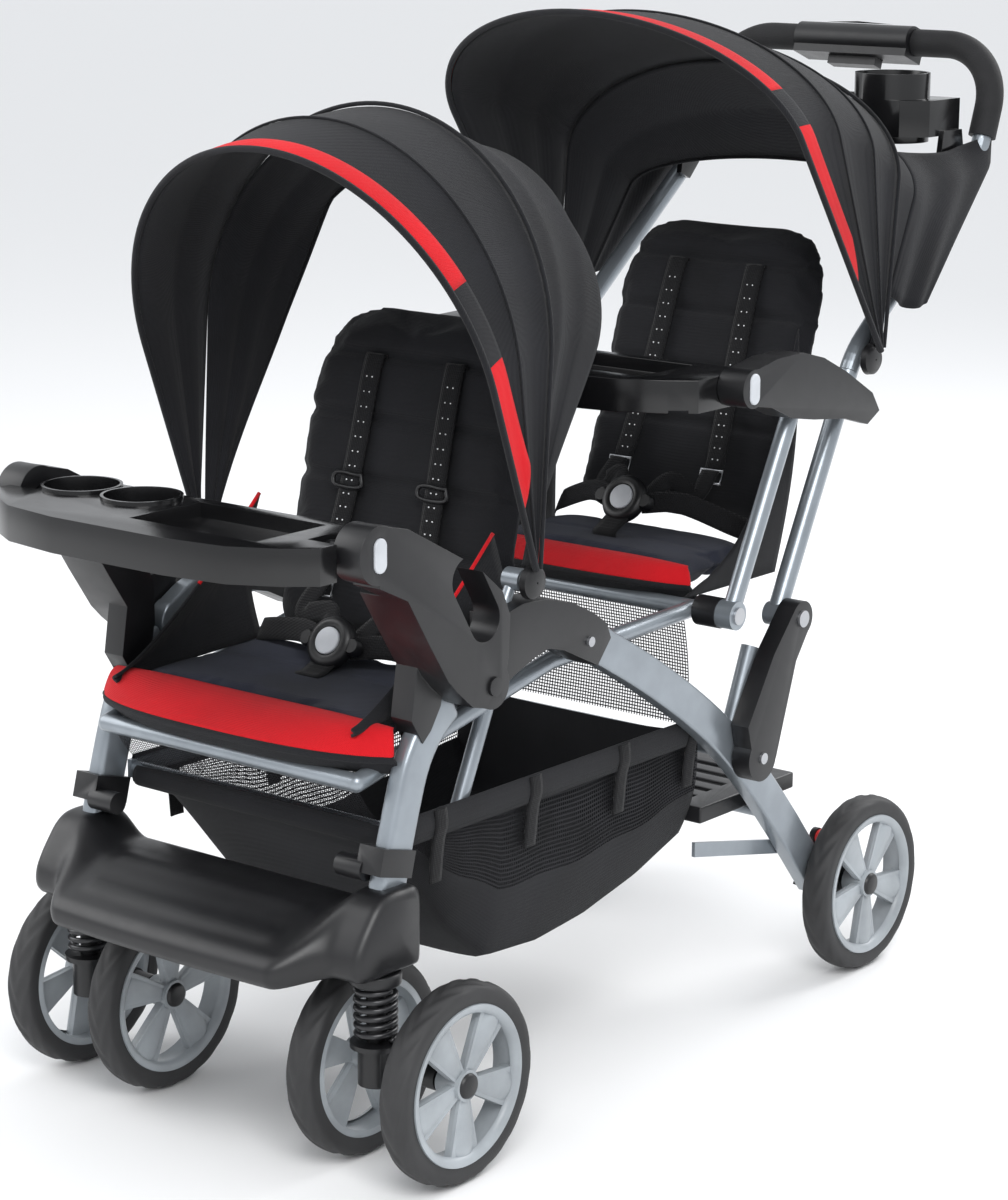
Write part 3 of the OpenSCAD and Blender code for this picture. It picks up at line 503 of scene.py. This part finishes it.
def make_canopy(which, pivot, bows, seam, front, back, body, panel_body, kind, band, gap, panel_drop, flare):
    """One canopy: the hood on its moving bows, the fixed rear panel, the red band with its binding, and seams."""
    hood = Canopy(pivot, bows)
    inset = -0.003
    low = seam - 0.4
    main = hood.sheet(f"{which}_canopy_cloth", low, front - 0.3, body, out=lambda a: inset)
    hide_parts(f"{which}_canopy_hood")
    panel = hood.sheet(f"{which}_canopy_rear_cloth", back, seam + 1.2, panel_body,
                       out=lambda a: inset + panel_drop * (1 - 0.45 * max(0.0, (a - back) / (seam - back)) ** 3),
                       flare=flare)
    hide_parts(f"{which}_canopy_rear_panel")
    for o, held in ((main, "stretched"), (panel, "stretched")):
        declare_sheet(o, held)
        give(o, kind)
    # The red band along the front edge rounds off above both feet, and a black gap parts it.
    t0_band = 0.045
    def ribbon(name, t0, t1, material):
        columns = []
        for t in np.linspace(t0, t1, 90):
            edge = hood.point(front, t) - pivot
            reach = math.hypot(edge.y, edge.z)
            wide = band * math.sqrt(min(1.0, max(0.03, (min(t, 1 - t) - t0_band) / 0.03))) / reach
            columns.append([hood.point(front - 0.2 - math.degrees(wide) * s, t,
                                       0.0004 + 0.0008 * math.sin(math.pi * s)) for s in np.linspace(0, 1, 7)])
        rows = [[c[i] for c in columns] for i in range(7)]
        o = grid(name, rows, material, body, thick=0.0012)
        declare_sheet(o, "stretched")
        return give(o, kind)

    ribbon(f"{which}_canopy_band_left", t0_band, gap[0], "fabric_red")
    ribbon(f"{which}_canopy_band_gap", gap[0], gap[1], "fabric_black")
    ribbon(f"{which}_canopy_band_right", gap[1], 1 - t0_band, "fabric_red")
    give(hood.cord(f"{which}_canopy_bow", front, 0.0034, body), kind)
    give(hood.cord(f"{which}_canopy_seam", seam, 0.0022, body, out=0.0005), kind)
    give(hood.cord(f"{which}_canopy_edge", back, 0.0016, panel_body, out=inset + panel_drop - 0.002, flare=flare), kind)
    for angle in [b[0] for b in bows[1:-1]]:
        if angle > seam + 2:
            give(hood.cord(f"{which}_canopy_rib_{angle:.0f}", angle, 0.0013, body, out=-0.001), kind)
    for side, sign in (("left", 1), ("right", -1)):
        x = sign * (bows[0][2] - 0.004)
        hub = lathe(f"{which}_canopy_hub_{side}", [(0.001, 0.006), (0.012, 0.006), (0.016, 0.003), (0.017, -0.003),
                                                  (0.014, -0.006), (0.001, -0.006)],
                    pivot + Vector((x, 0, 0)), (sign, 0, 0), "black_plastic", body)
        shade_by_angle(hub, 40)
    return hood


def make_front_canopy():
    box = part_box("front_canopy_hood")
    half = box[1].x
    pivot = PIVOT["front_canopy_fold"]
    bows = [(68, 0.436, half - 0.004, 0.225), (77, 0.436, half - 0.002, 0.218), (86, 0.434, half, 0.210),
            (98, 0.431, half, 0.205), (110, 0.428, half, 0.200)]
    return make_canopy("front", pivot, bows, 86, 110, 68, "front_canopy", "chassis", "front_canopy",
                       0.024, (0.165, 0.245), -0.0150, 7)


def make_rear_canopy():
    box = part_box("rear_canopy_hood")
    half = box[1].x
    pivot = PIVOT["rear_canopy_fold"]
    bows = [(52, 0.255, 0.214, 0.190), (66, 0.282, 0.221, 0.180), (84, 0.312, 0.224, 0.190),
            (98, 0.342, 0.226, 0.222), (112, 0.396, half, 0.262), (125, 0.450, half, 0.300)]
    hood = make_canopy("rear", pivot, bows, 84, 125, 52, "rear_canopy", "handle", "rear_canopy",
                       0.024, (0.165, 0.235), -0.009, 0)
    # Loose cloth runs from the rear panel to the handle's side tubes, gathered into soft pleats.
    ends = [(222, 832, 737), (213, 905, 802), (205, 985, 874), (192, 1008, 908)]
    for side, sign in (("left", 1), ("right", -1)):
        rows = []
        for k in np.linspace(0, 1, 26):
            row = []
            for q in np.linspace(0, 1, 24):
                start = hood.point(66, 0.05 + 0.23 * q, -0.0110)
                end = at(*[np.interp(q * 3, range(4), [e[i] for e in ends]) for i in range(3)])
                p = start.lerp(end, k)
                bulge = math.sin(math.pi * k)
                p.x += 0.004 * bulge * math.sin(11 * k + 3 * q)
                p.z -= 0.010 * bulge
                row.append(Vector((sign * p.x, p.y, p.z)))
            rows.append(row)
        drape = grid(f"rear_canopy_drape_{side}", rows, "fabric_black", "handle", thick=0.0016)
        declare_sheet(drape, "gathered")
        give(drape, "rear_canopy")
    return hood


# ---------- padded pieces ----------
def inflate(o, voxel=0.005, pressure=4.0, cap=0.009, frames=20):
    """Rebuilds o as an even mesh and blows it up as cloth, with no point moving further than cap."""
    remesh = o.modifiers.new("remesh", "REMESH")
    remesh.mode = "VOXEL"
    remesh.voxel_size = voxel
    bake(o)
    rest = coordinates(o)
    sim = o.modifiers.new("cloth", "CLOTH")
    sim.settings.quality = 5
    sim.settings.mass = 0.3
    sim.settings.tension_stiffness = 12
    sim.settings.bending_stiffness = 0.4
    sim.settings.use_pressure = True
    sim.settings.uniform_pressure_force = pressure
    sim.settings.effector_weights.gravity = 0
    scene = bpy.context.scene
    for f in range(1, frames + 1):
        scene.frame_set(f)
    moved = coordinates(o, evaluated=True)
    o.modifiers.remove(sim)
    scene.frame_set(1)
    step = moved - rest
    length = np.maximum(np.linalg.norm(step, axis=1, keepdims=True), 1e-9)
    o.data.vertices.foreach_set("co", (rest + step * np.minimum(1, cap / length)).astype(np.float32).ravel())
    o.data.update()
    return o


def bake(o):
    """Applies o's modifiers to its mesh."""
    bpy.context.view_layer.update()
    graph = bpy.context.evaluated_depsgraph_get()
    mesh = bpy.data.meshes.new_from_object(o.evaluated_get(graph))
    old = o.data
    o.modifiers.clear()
    o.data = mesh
    mesh.name = o.name
    bpy.data.meshes.remove(old)
    if not mesh.materials:
        mesh.materials.append(M["fabric_black"])


def coordinates(o, evaluated=False):
    source = o
    if evaluated:
        source = o.evaluated_get(bpy.context.evaluated_depsgraph_get())
    mesh = source.data
    co = np.zeros(len(mesh.vertices) * 3, np.float32)
    mesh.vertices.foreach_get("co", co)
    return co.reshape(-1, 3).astype(float)


def pad(name, origin, along, length, half, thick, body, material, kind=None, replaces=None, cap=0.009,
        seams=(), ribs=(), dish=0.0, slim=0.006):
    """A sewn pad. It starts at origin, runs length along a side-plane direction, and half(s) is its half width at
    share s of that length. seams are shares where a channel crosses it, and ribs are x places of channels along it."""
    along = Vector(along).normalized()
    face = LEFT.cross(along)
    count, cols = 30, 25
    rows = []
    for s in np.linspace(0, 1, count):
        w = half(s) - slim
        edge = min(s, 1 - s) * length
        t = (thick / 2 - slim) * min(1.0, 0.35 + edge / 0.03)
        ring = []
        for k in range(2 * cols):
            top = k < cols
            u = -1 + 2 * k / (cols - 1) if top else 1 - 2 * (k - cols) / (cols - 1)
            crown = t * (1 - abs(u) ** 6 * 0.75)
            hollow = dish * (1 - u * u)
            ring.append(origin + along * (s * length) + LEFT * (u * w)
                        + face * ((crown - hollow) if top else (-crown - hollow)))
        rows.append(ring)
    p = np.array(rows, float)
    m = 2 * cols
    faces = [(r * m + c, r * m + (c + 1) % m, (r + 1) * m + (c + 1) % m, (r + 1) * m + c)
             for r in range(count - 1) for c in range(m)]
    faces += [tuple(range(m)), tuple((count - 1) * m + c for c in range(m))]
    o = piece(name, p.reshape(-1, 3), faces, material, body)
    inflate(o, cap=cap)
    co = coordinates(o)
    rel = co - np.array(origin)
    v = rel @ np.array(along)
    n = rel @ np.array(face)
    depth = np.zeros(len(co))
    for s in seams:
        depth += 0.007 * np.exp(-((v - s * length) / 0.0055) ** 2)
    for x in ribs:
        depth += 0.005 * np.exp(-((rel[:, 0] - x) / 0.005) ** 2)
    sides = np.array([half(min(max(s, 0), 1)) for s in v / length]) - np.abs(rel[:, 0])
    piping = 0.0022 * np.exp(-((sides - 0.012) / 0.003) ** 2)
    co += np.outer(np.where(n > -dish / 2, -depth - piping, 0.25 * depth), np.array(face))
    o.data.vertices.foreach_set("co", co.astype(np.float32).ravel())
    o.data.materials.clear()
    o.data.materials.append(M[material])
    smooth = o.modifiers.new("smooth", "SUBSURF")
    smooth.levels = smooth.render_levels = 1
    o.data.shade_smooth()
    if replaces:
        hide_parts(replaces)
    if kind:
        give(o, kind)
    return o


def arc_width(full, top, shoulder):
    """Half width that holds its full value up to shoulder and then rounds in to top."""
    def half(s):
        if s <= shoulder:
            return full - 0.010 * max(0.0, 1 - s / 0.08)
        u = (s - shoulder) / (1 - shoulder)
        return top + (full - top) * math.sqrt(max(0.0, 1 - u ** 2.4))
    return half


def lean_back(degrees):
    """The way a seat back runs upward, leaning back from upright."""
    lean = math.radians(degrees)
    return Vector((0, math.sin(lean), math.cos(lean)))


def make_front_seat():
    run = lean_back(13)
    face = LEFT.cross(run)
    base = PIVOT["front_recline"]
    centre = base - face * 0.014
    pad("front_back_cushion", centre, run, 0.350, arc_width(0.158, 0.078, 0.62), 0.034, "front_seat_back",
        "fabric_black", "front_back", "front_seat_back", seams=(0.30, 0.48, 0.66, 0.84), dish=0.004)
    pad("front_seat_cushion", at(0, 164, 424), at(0, -30, 414) - at(0, 164, 424), 0.186,
              lambda s: 0.150 + 0.026 * s, 0.030, "chassis", "fabric_slate", None, "front_seat_pad", seams=(0.45,), dish=0.003)
    make_lip("front", at(0, -8, 431), 0.187, 0.022, 0.056)
    for side, sign in (("left", 1), ("right", -1)):
        rows = []
        for s in np.linspace(0, 1, 24):
            y = -38 + 206 * s
            low_z, high_z = 424 + 6 * s, 430 + 150 * s ** 1.3
            rows.append([at(sign * (152 + 12 * math.sin(math.pi * k) * (0.4 + s)), y, low_z + (high_z - low_z) * k)
                         for k in np.linspace(0, 1, 18)])
        wing = grid(f"front_side_cloth_{side}", rows, "fabric_black", "chassis", thick=0.003)
        declare_sheet(wing, "stretched")
        give(wing, "front_side")
        edge = tube(f"front_side_piping_{side}", [r[-1] for r in rows[13:]], 0.0020, "fabric_red", "chassis", 8)
        give(edge, "front_side")


def make_lip(which, place, half, drop, reach):
    """The red front lip of a seat: it bows forward, slopes down to a black piping and runs out at both ends."""
    rows = []
    for s in np.linspace(0, 1, 16):
        row = []
        for u in np.linspace(-1, 1, 61):
            deep = reach * max(0.06, (1 - abs(u) ** 3.2)) ** 0.6
            row.append(place + Vector((u * (half - 0.010 * (1 - s)), -deep * s - 0.004 * (1 - u * u),
                                       0.0035 * math.sin(math.pi * s) - drop * s ** 1.7 - 0.004 * u ** 4)))
        rows.append(row)
    lip = grid(f"{which}_seat_lip", rows, "fabric_red", "chassis", thick=0.006, smooth_levels=1)
    declare_sheet(lip, "stretched")
    edge = rows[-1]
    tube(f"{which}_seat_piping", [p + Vector((0, -0.001, -0.002)) for p in edge], 0.0036, "fabric_black", "chassis", 10)
    under = [[p + Vector((0, 0.016 * k, -0.016 * k - 0.002)) for p in edge] for k in np.linspace(0, 1, 5)]
    skirt = grid(f"{which}_seat_valance", under, "fabric_black", "chassis", thick=0.003)
    declare_sheet(skirt, "stretched")


def make_rear_seat():
    run = lean_back(18)
    face = LEFT.cross(run)
    centre = PIVOT["rear_recline"] - face * 0.014
    pad("rear_back_cushion", centre, run, 0.350, arc_width(0.150, 0.085, 0.66), 0.034, "rear_seat_back",
        "fabric_black", "rear_back", "rear_seat_back", seams=(0.32, 0.5, 0.68, 0.85), dish=0.004)
    pad("rear_seat_cushion", at(0, 650, 474), at(0, 500, 474) - at(0, 650, 474), 0.152, lambda s: 0.148, 0.028,
        "chassis", "fabric_slate", None, "rear_seat_pad", seams=(0.5,), dish=0.003)
    make_lip("rear", at(0, 506, 489), 0.150, 0.016, 0.034)
    for side, sign in (("left", 1), ("right", -1)):
        rows = []
        for s in np.linspace(0, 1, 22):
            low_y, high_y = 486 + 168 * s, 600 + 90 * s
            rows.append([at(sign * (150 + 10 * math.sin(math.pi * k) * s), low_y + (high_y - low_y) * k,
                            458 + (220 * s ** 1.2 + 40) * k) for k in np.linspace(0, 1, 18)])
        wing = grid(f"rear_side_cloth_{side}", rows, "fabric_black", "chassis", thick=0.003)
        declare_sheet(wing, "stretched")
        give(wing, "rear_side")


# ---------- harnesses ----------
def buckle_seat(node):
    """The middle of a buckle's back face, from its button."""
    lo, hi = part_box(node)
    turn = math.radians(60)
    return (lo + hi) / 2 - Vector((0, -math.sin(turn), math.cos(turn))) * 0.013


def make_harness(which, back_angle, back_body, buckle, pivot, pad_z, kind, side_kind):
    run = lean_back(back_angle)
    face = LEFT.cross(run)
    turn = math.radians(60)
    normal = Vector((0, -math.sin(turn), math.cos(turn)))
    soft = []
    for side, sign in (("left", 1), ("right", -1)):
        top = pivot + run * 0.285 + LEFT * sign * 0.052 + face * 0.006
        mid = pivot + run * 0.165 + LEFT * sign * 0.055 + face * 0.012
        low = pivot + run * 0.060 + LEFT * sign * 0.062 + face * 0.020
        shoulder = strap(f"{which}_shoulder_strap_{side}", [top - face * 0.012, top, mid, low], 0.024, back_body, face)
        declare_sheet(shoulder, "hung")
        soft.append((shoulder, kind))
        path = smooth_path([top, mid, low])
        dots = []
        for i in range(1, len(path) - 1):
            for lane in (-0.0035, 0.0035):
                spot = path[i] + LEFT * lane + face * 0.0022
                dots.append(lathe("dot", [(0.0001, 0.0003), (0.0007, 0.0002), (0.0009, -0.0004)], spot, face,
                                  "dot_white", back_body, 8))
        soft.append((joined(f"{which}_strap_dots_{side}", dots), kind))
        slide = smooth_path([mid + LEFT * 0.016 + run * 0.006, mid + LEFT * 0.016 - run * 0.006,
                             mid - LEFT * 0.016 - run * 0.006, mid - LEFT * 0.016 + run * 0.006,
                             mid + LEFT * 0.016 + run * 0.006], 4)
        soft.append((tube(f"{which}_strap_slide_{side}", [p + face * 0.003 for p in slide[:-1]], 0.0022,
                          "black_plastic", back_body, 8, closed=True), kind))
        link = low - run * 0.006
        loop = [link + LEFT * a * 0.014 + run * b * 0.007 + face * 0.004
                for a, b in ((1, 1), (1, -1), (-1, -1), (-1, 1))]
        soft.append((tube(f"{which}_strap_loop_{side}", loop, 0.0016, "steel", back_body, 8, closed=True), kind))
        hip = strap(f"{which}_hip_strap_{side}",
                    [buckle + LEFT * sign * 0.020, buckle + Vector((sign * 0.060, 0.018, 0.002)),
                     Vector((sign * 0.118, buckle.y + 0.040, pad_z + 0.018)),
                     Vector((sign * 0.146, buckle.y + 0.066, pad_z + 0.004))], 0.024, "chassis", normal)
        declare_sheet(hip, "hung")
        soft.append((hip, side_kind))
        tail = strap(f"{which}_tail_strap_{side}",
                     [low + face * 0.006, low - run * 0.030 + face * 0.026,
                      buckle + Vector((sign * 0.034, 0.030, 0.022)), buckle + Vector((sign * 0.020, 0.008, 0.004))],
                     0.022, "chassis", normal)
        declare_sheet(tail, "hung")
        soft.append((tail, side_kind))
    crotch = strap(f"{which}_crotch_strap",
                   [buckle - normal * 0.004, buckle + Vector((0, -0.028, -0.020)),
                    Vector((buckle.x, buckle.y - 0.042, pad_z + 0.008)), Vector((buckle.x, buckle.y - 0.030, pad_z - 0.004))],
                   0.030, "chassis", Vector((0, -0.8, 0.6)))
    declare_sheet(crotch, "hung")
    soft.append((crotch, side_kind))
    shell = lathe(f"{which}_buckle", [(0.0145, 0.009), (0.0150, 0.0135), (0.0190, 0.0150), (0.0245, 0.0130),
                                      (0.0270, 0.0085), (0.0270, 0.0030), (0.0240, 0.0), (0.001, 0.0)],
                  buckle, normal, "black_plastic", "chassis", 56)
    ear = [lathe("ear", [(0.0001, 0.006), (0.007, 0.006), (0.009, 0.003), (0.009, -0.003), (0.0001, -0.003)],
                 buckle + LEFT * s * 0.029 + normal * 0.006, normal, "black_plastic", "chassis", 20) for s in (1, -1)]
    shell = joined(f"{which}_buckle", [shell] + ear)
    shade_by_angle(shell, 42)
    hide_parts(f"{which}_harness")
    for o, rule in soft:
        give(o, rule)


# ---------- basket ----------
BASKET_HALF = 0.168
BASKET_TOP = 0.320


def basket_depth(y):
    """How deep the basket hangs at a place y, in side-frame millimetres."""
    ys = [14, 60, 110, 168, 250, 330, 420, 496]
    depth = [8, 62, 122, 170, 176, 168, 148, 122]
    return float(np.interp(y, ys, depth)) / 1000


def make_basket():
    """Netting sides on a solid bottom: one U-shaped section after another, closed at the back, sagging a little."""
    rows, shares = [], []
    places = [(y, 1.0) for y in np.linspace(14, 496, 42)] + [(496.2, k) for k in np.linspace(0.9, 0.05, 8)]
    for y, k in places:
        d = basket_depth(y) * k
        row = []
        for w in np.linspace(-1, 1, 57):
            a = abs(w)
            if a > 0.42:
                rise = (a - 0.42) / 0.58
                bulge = 0.006 * math.sin(math.pi * rise)
                x = BASKET_HALF - 0.020 * (1 - rise) ** 2 + bulge - 0.006
                z = -d * (1 - rise) + 0.002 * math.sin(y / 17) * math.sin(math.pi * rise)
            else:
                flat = a / 0.42
                x = (BASKET_HALF - 0.026) * flat ** 0.9
                z = -d - 0.005 * (1 - flat ** 4)
            row.append(Vector((math.copysign(x, w), at(0, y, 0).y, BASKET_TOP + z)))
        rows.append(row)
    net = grid("basket_net", rows, "mesh_fabric", "chassis", thick=0)
    net.data.materials.append(M["fabric_black"])
    for f in net.data.polygons:
        row, column = divmod(min(f.vertices), 57)
        if abs(column - 27.5) < 19 or row < 2:
            f.material_index = 1
    declare_sheet(net, "hung")
    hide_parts("basket")
    give(net, "basket")
    roll = tube("basket_front_roll", smooth_path([at(x, 6 - 0.00004 * (150 ** 2 - x * x), 318) for x in
                                                  (-166, -120, -60, 0, 60, 120, 166)]), 0.012, "fabric_black",
                "chassis", 16)
    give(roll, "basket")
    for side, sign in (("left", 1), ("right", -1)):
        hem = [[Vector((sign * (0.1745 + 0.003 * math.sin(3.14 * k)), at(0, y, 0).y, 0.337 - 0.028 * k))
                for y in np.linspace(4, 488, 50)] for k in np.linspace(0, 1, 6)]
        band = grid(f"basket_hem_{side}", hem, "fabric_black", "chassis", thick=0.0016)
        declare_sheet(band, "hung")
        give(band, "basket")
        for i, y in enumerate((60, 205, 350, 470)):
            web = strap(f"basket_strap_{side}_{i}", [at(sign * 177, y, 336), at(sign * 178.5, y, 320),
                                                    at(sign * 174, y, 300), at(sign * 170, y, 262)], 0.018,
                        "chassis", (sign, 0, 0))
            declare_sheet(web, "hung")
            give(web, "basket")
    front = [[Vector((x / 1000, at(0, -38 + 40 * k, 0).y, 0.376 - 0.048 * k - 0.004 * math.sin(math.pi * k)))
              for x in np.linspace(-158, 158, 30)] for k in np.linspace(0, 1, 10)]
    drop = grid("front_net", front, "mesh_fabric", "chassis")
    declare_sheet(drop, "hung")
    give(drop, "front_mesh")
    back = []
    for k in np.linspace(0, 1, 20):
        half = 158 - 10 * k
        back.append([at(x, 488 + 0.00008 * (150 ** 2 - x * x) + 6 * math.sin(math.pi * k), 322 + 128 * k)
                     for x in np.linspace(-half, half, 40)])
    pouch = grid("rear_seat_net", back, "mesh_fabric", "chassis")
    declare_sheet(pouch, "hung")
    give(pouch, "basket")


# ---------- wheels ----------
def make_wheel(tyre_node, rim_node, joint, body, out, first):
    """A ribbed tyre and the petal rim's dished ring and hub cap, turning about the wheel's joint."""
    lo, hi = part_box(tyre_node)
    centre = PIVOT[joint]
    radius, half = (hi.z - lo.z) / 2, (hi.x - lo.x) / 2
    seat = (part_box(rim_node)[1].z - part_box(rim_node)[0].z) / 2

    def profile():
        points = [(seat, -half + 0.0015)]
        side = radius - seat
        for a in np.linspace(-90, 90, 25):
            r = math.radians(a)
            points.append((seat + side * (0.35 + 0.65 * max(0.0, math.cos(r)) ** 0.55) if abs(a) < 89 else
                           seat + side * 0.35, half * math.sin(r)))
        return points + [(seat, half - 0.0015)]

    shape = profile()

    def tread(w, k):
        if k < 2 or k > len(shape) - 3:
            return 0
        swirl = math.sin(18 * w + 0.55 * abs(k - len(shape) / 2) * math.pi / 2)
        crown = math.exp(-((k - len(shape) / 2) / 9) ** 4)
        return -0.0011 * (0.5 + 0.5 * math.tanh(4 * swirl)) * crown

    tyre = lathe(f"{body}_tyre", shape, centre, (1, 0, 0), "tyre_rubber", body, 216, tread)
    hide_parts(tyre_node)
    face = centre.x + out * (half - 0.004)
    flange = lathe(f"{body}_flange", [(seat - 0.010, -0.003), (seat - 0.009, 0.001), (seat - 0.005, 0.004),
                                      (seat - 0.0005, 0.004), (seat - 0.0005, -0.002)],
                   Vector((face, centre.y, centre.z)), (out, 0, 0), "rim_grey", body, 96)
    cap = lathe(f"{body}_cap", [(0.0001, 0.0045), (0.009, 0.0043), (0.0115, 0.003), (0.0125, 0.0), (0.0001, -0.001)],
                Vector((face + out * 0.0016, centre.y, centre.z)), (out, 0, 0), "black_plastic", body, 32)
    shade_by_angle(flange, 50)
    shade_by_angle(cap, 50)
    petals = []
    hub, reach = 0.015, seat - 0.006
    for i in range(5):
        a = 2 * math.pi * i / 5 + first
        d = Vector((0, math.sin(a), math.cos(a)))
        rows = []
        for s in np.linspace(0, 1, 12):
            r = hub - 0.003 + (reach - hub + 0.003) * s
            w = (0.0072 + 0.0135 * s ** 0.8) * math.sqrt(1 - max(0.0, (s - 0.8) / 0.22) ** 2)
            side = Vector((1, 0, 0)).cross(d)
            rows.append([Vector((face, 0, 0)) + Vector((0, centre.y, centre.z)) + d * r + side * (w * u)
                         + Vector((out * (0.0040 * (1 - u * u) * (0.4 + 0.6 * s) - 0.0020 * abs(u) ** 5 - 0.003), 0, 0))
                         for u in np.linspace(-1, 1, 11)])
        petals.append(grid("petal", rows, "rim_grey", body))
    blades = joined(f"{body}_petals", petals)
    solid = blades.modifiers.new("thickness", "SOLIDIFY")
    solid.thickness = 0.004


def make_wheels():
    for side, sign in (("left", 1), ("right", -1)):
        for place, out in (("outer", 1), ("inner", -1)):
            body = f"{side}_{place}_front_wheel"
            make_wheel(f"{side}_{place}_front_tyre", f"{side}_{place}_front_rim", f"{body}_spin", body, sign * out,
                       math.pi if out > 0 else 0)
        body = f"{side}_rear_wheel"
        make_wheel(f"{side}_rear_tyre", f"{side}_rear_rim", f"{body}_spin", body, sign, math.pi)
        lo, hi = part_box(f"{side}_caster_spring")
        c = (lo + hi) / 2
        turns, wire = 6, 0.003
        r = (hi.x - lo.x) / 2 - wire
        path = [Vector((c.x + r * math.cos(w), c.y + r * math.sin(w), lo.z + wire + (hi.z - lo.z - 2 * wire) * k))
                for k in np.linspace(0, 1, turns * 20) for w in [2 * math.pi * turns * k]]
        coil = tube(f"{side}_caster_coil", path, wire, "spring_steel", f"{side}_caster", 10)
        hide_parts(f"{side}_caster_spring")
        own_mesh(coil)


# ---------- footrest and console lens ----------
TRAY = [(-12, 250), (-14, 262), (-40, 264), (-66, 259), (-92, 248), (-116, 237), (-129, 231), (-137, 222), (-137, 210),
        (-131, 203), (-124, 207), (-112, 220), (-90, 232), (-62, 242), (-36, 247), (-18, 247)]
TOWER = [(-8, 240), (-10, 282), (-30, 287), (-54, 286), (-69, 278), (-81, 264), (-91, 250), (-98, 236), (-99, 222),
         (-93, 212), (-80, 210), (-62, 210), (-45, 210), (-30, 210), (-18, 210), (-9, 214)]


def make_footrest():
    """A bowed moulding: one ring of points after another across it, from tower to tray to tower, with ridges."""
    rings = []
    for x in np.linspace(-214, 214, 109):
        share = min(1.0, max(0.0, (abs(x) - 138) / 44))
        share = share * share * (3 - 2 * share)
        ring = smooth_path([Vector((0, a[0] * (1 - share) + b[0] * share, a[1] * (1 - share) + b[1] * share))
                            for a, b in zip(TRAY + TRAY[:1], TOWER + TOWER[:1])], 5)[:-1]
        middle = sum(ring, Vector()) / len(ring)
        edge = max(0.0, (abs(x) - 205) / 9)
        row = []
        for i, p in enumerate(ring):
            q = middle + (p - middle) * (1 - 0.16 * (1 - math.sqrt(1 - edge * edge)))
            y = q.y - 9 * (1 - (x / 214) ** 2) * max(0.0, (-q.y - 30) / 100)
            ridge = 0.0
            if 12 < i < 29 and abs(x) < 128:
                ridge = 1.6 * max(0.0, math.sin((i - 12) / 17 * 4 * math.pi)) * min(1.0, (128 - abs(x)) / 10)
            row.append(at(x, y, q.z + ridge))
        rings.append(row)
    shell = grid("footrest_shell", rings, "black_plastic", "front_frame", close=True)
    bm = bmesh.new()
    bm.from_mesh(shell.data)
    bmesh.ops.holes_fill(bm, edges=[e for e in bm.edges if e.is_boundary])
    bmesh.ops.recalc_face_normals(bm, faces=bm.faces)
    bm.to_mesh(shell.data)
    bm.free()
    shade_by_angle(shell, 60)
    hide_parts("footrest")


def make_lens():
    """The lens on the handle console."""
    lo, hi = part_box("handle_console")
    c = (lo + hi) / 2
    lens = []
    for k in np.linspace(0, 1, 8):
        lens.append([c + Vector((0.046 * (1 - k) * math.cos(w), -0.004 * k - 0.00306 * (1 - k) * math.sin(w),
                                 hi.z - c.z + 0.0005 + 0.0022 * k))
                     for w in np.linspace(0, 2 * math.pi, 33)[:-1]])
    grid("handle_lens", lens, "tray_plastic", "handle", close=True)


make_camera()
make_studio()
dress_cad()
make_front_canopy()
make_rear_canopy()
make_front_seat()
make_rear_seat()
make_basket()
make_wheels()


make_harness("front", 13, "front_seat_back", buckle_seat("front_buckle_button"), PIVOT["front_recline"], 0.432,
             "front_back", "front_side")
make_harness("rear", 18, "rear_seat_back", buckle_seat("rear_buckle_button"), PIVOT["rear_recline"], 0.489,
             "rear_back", "rear_side")
make_footrest()
make_lens()
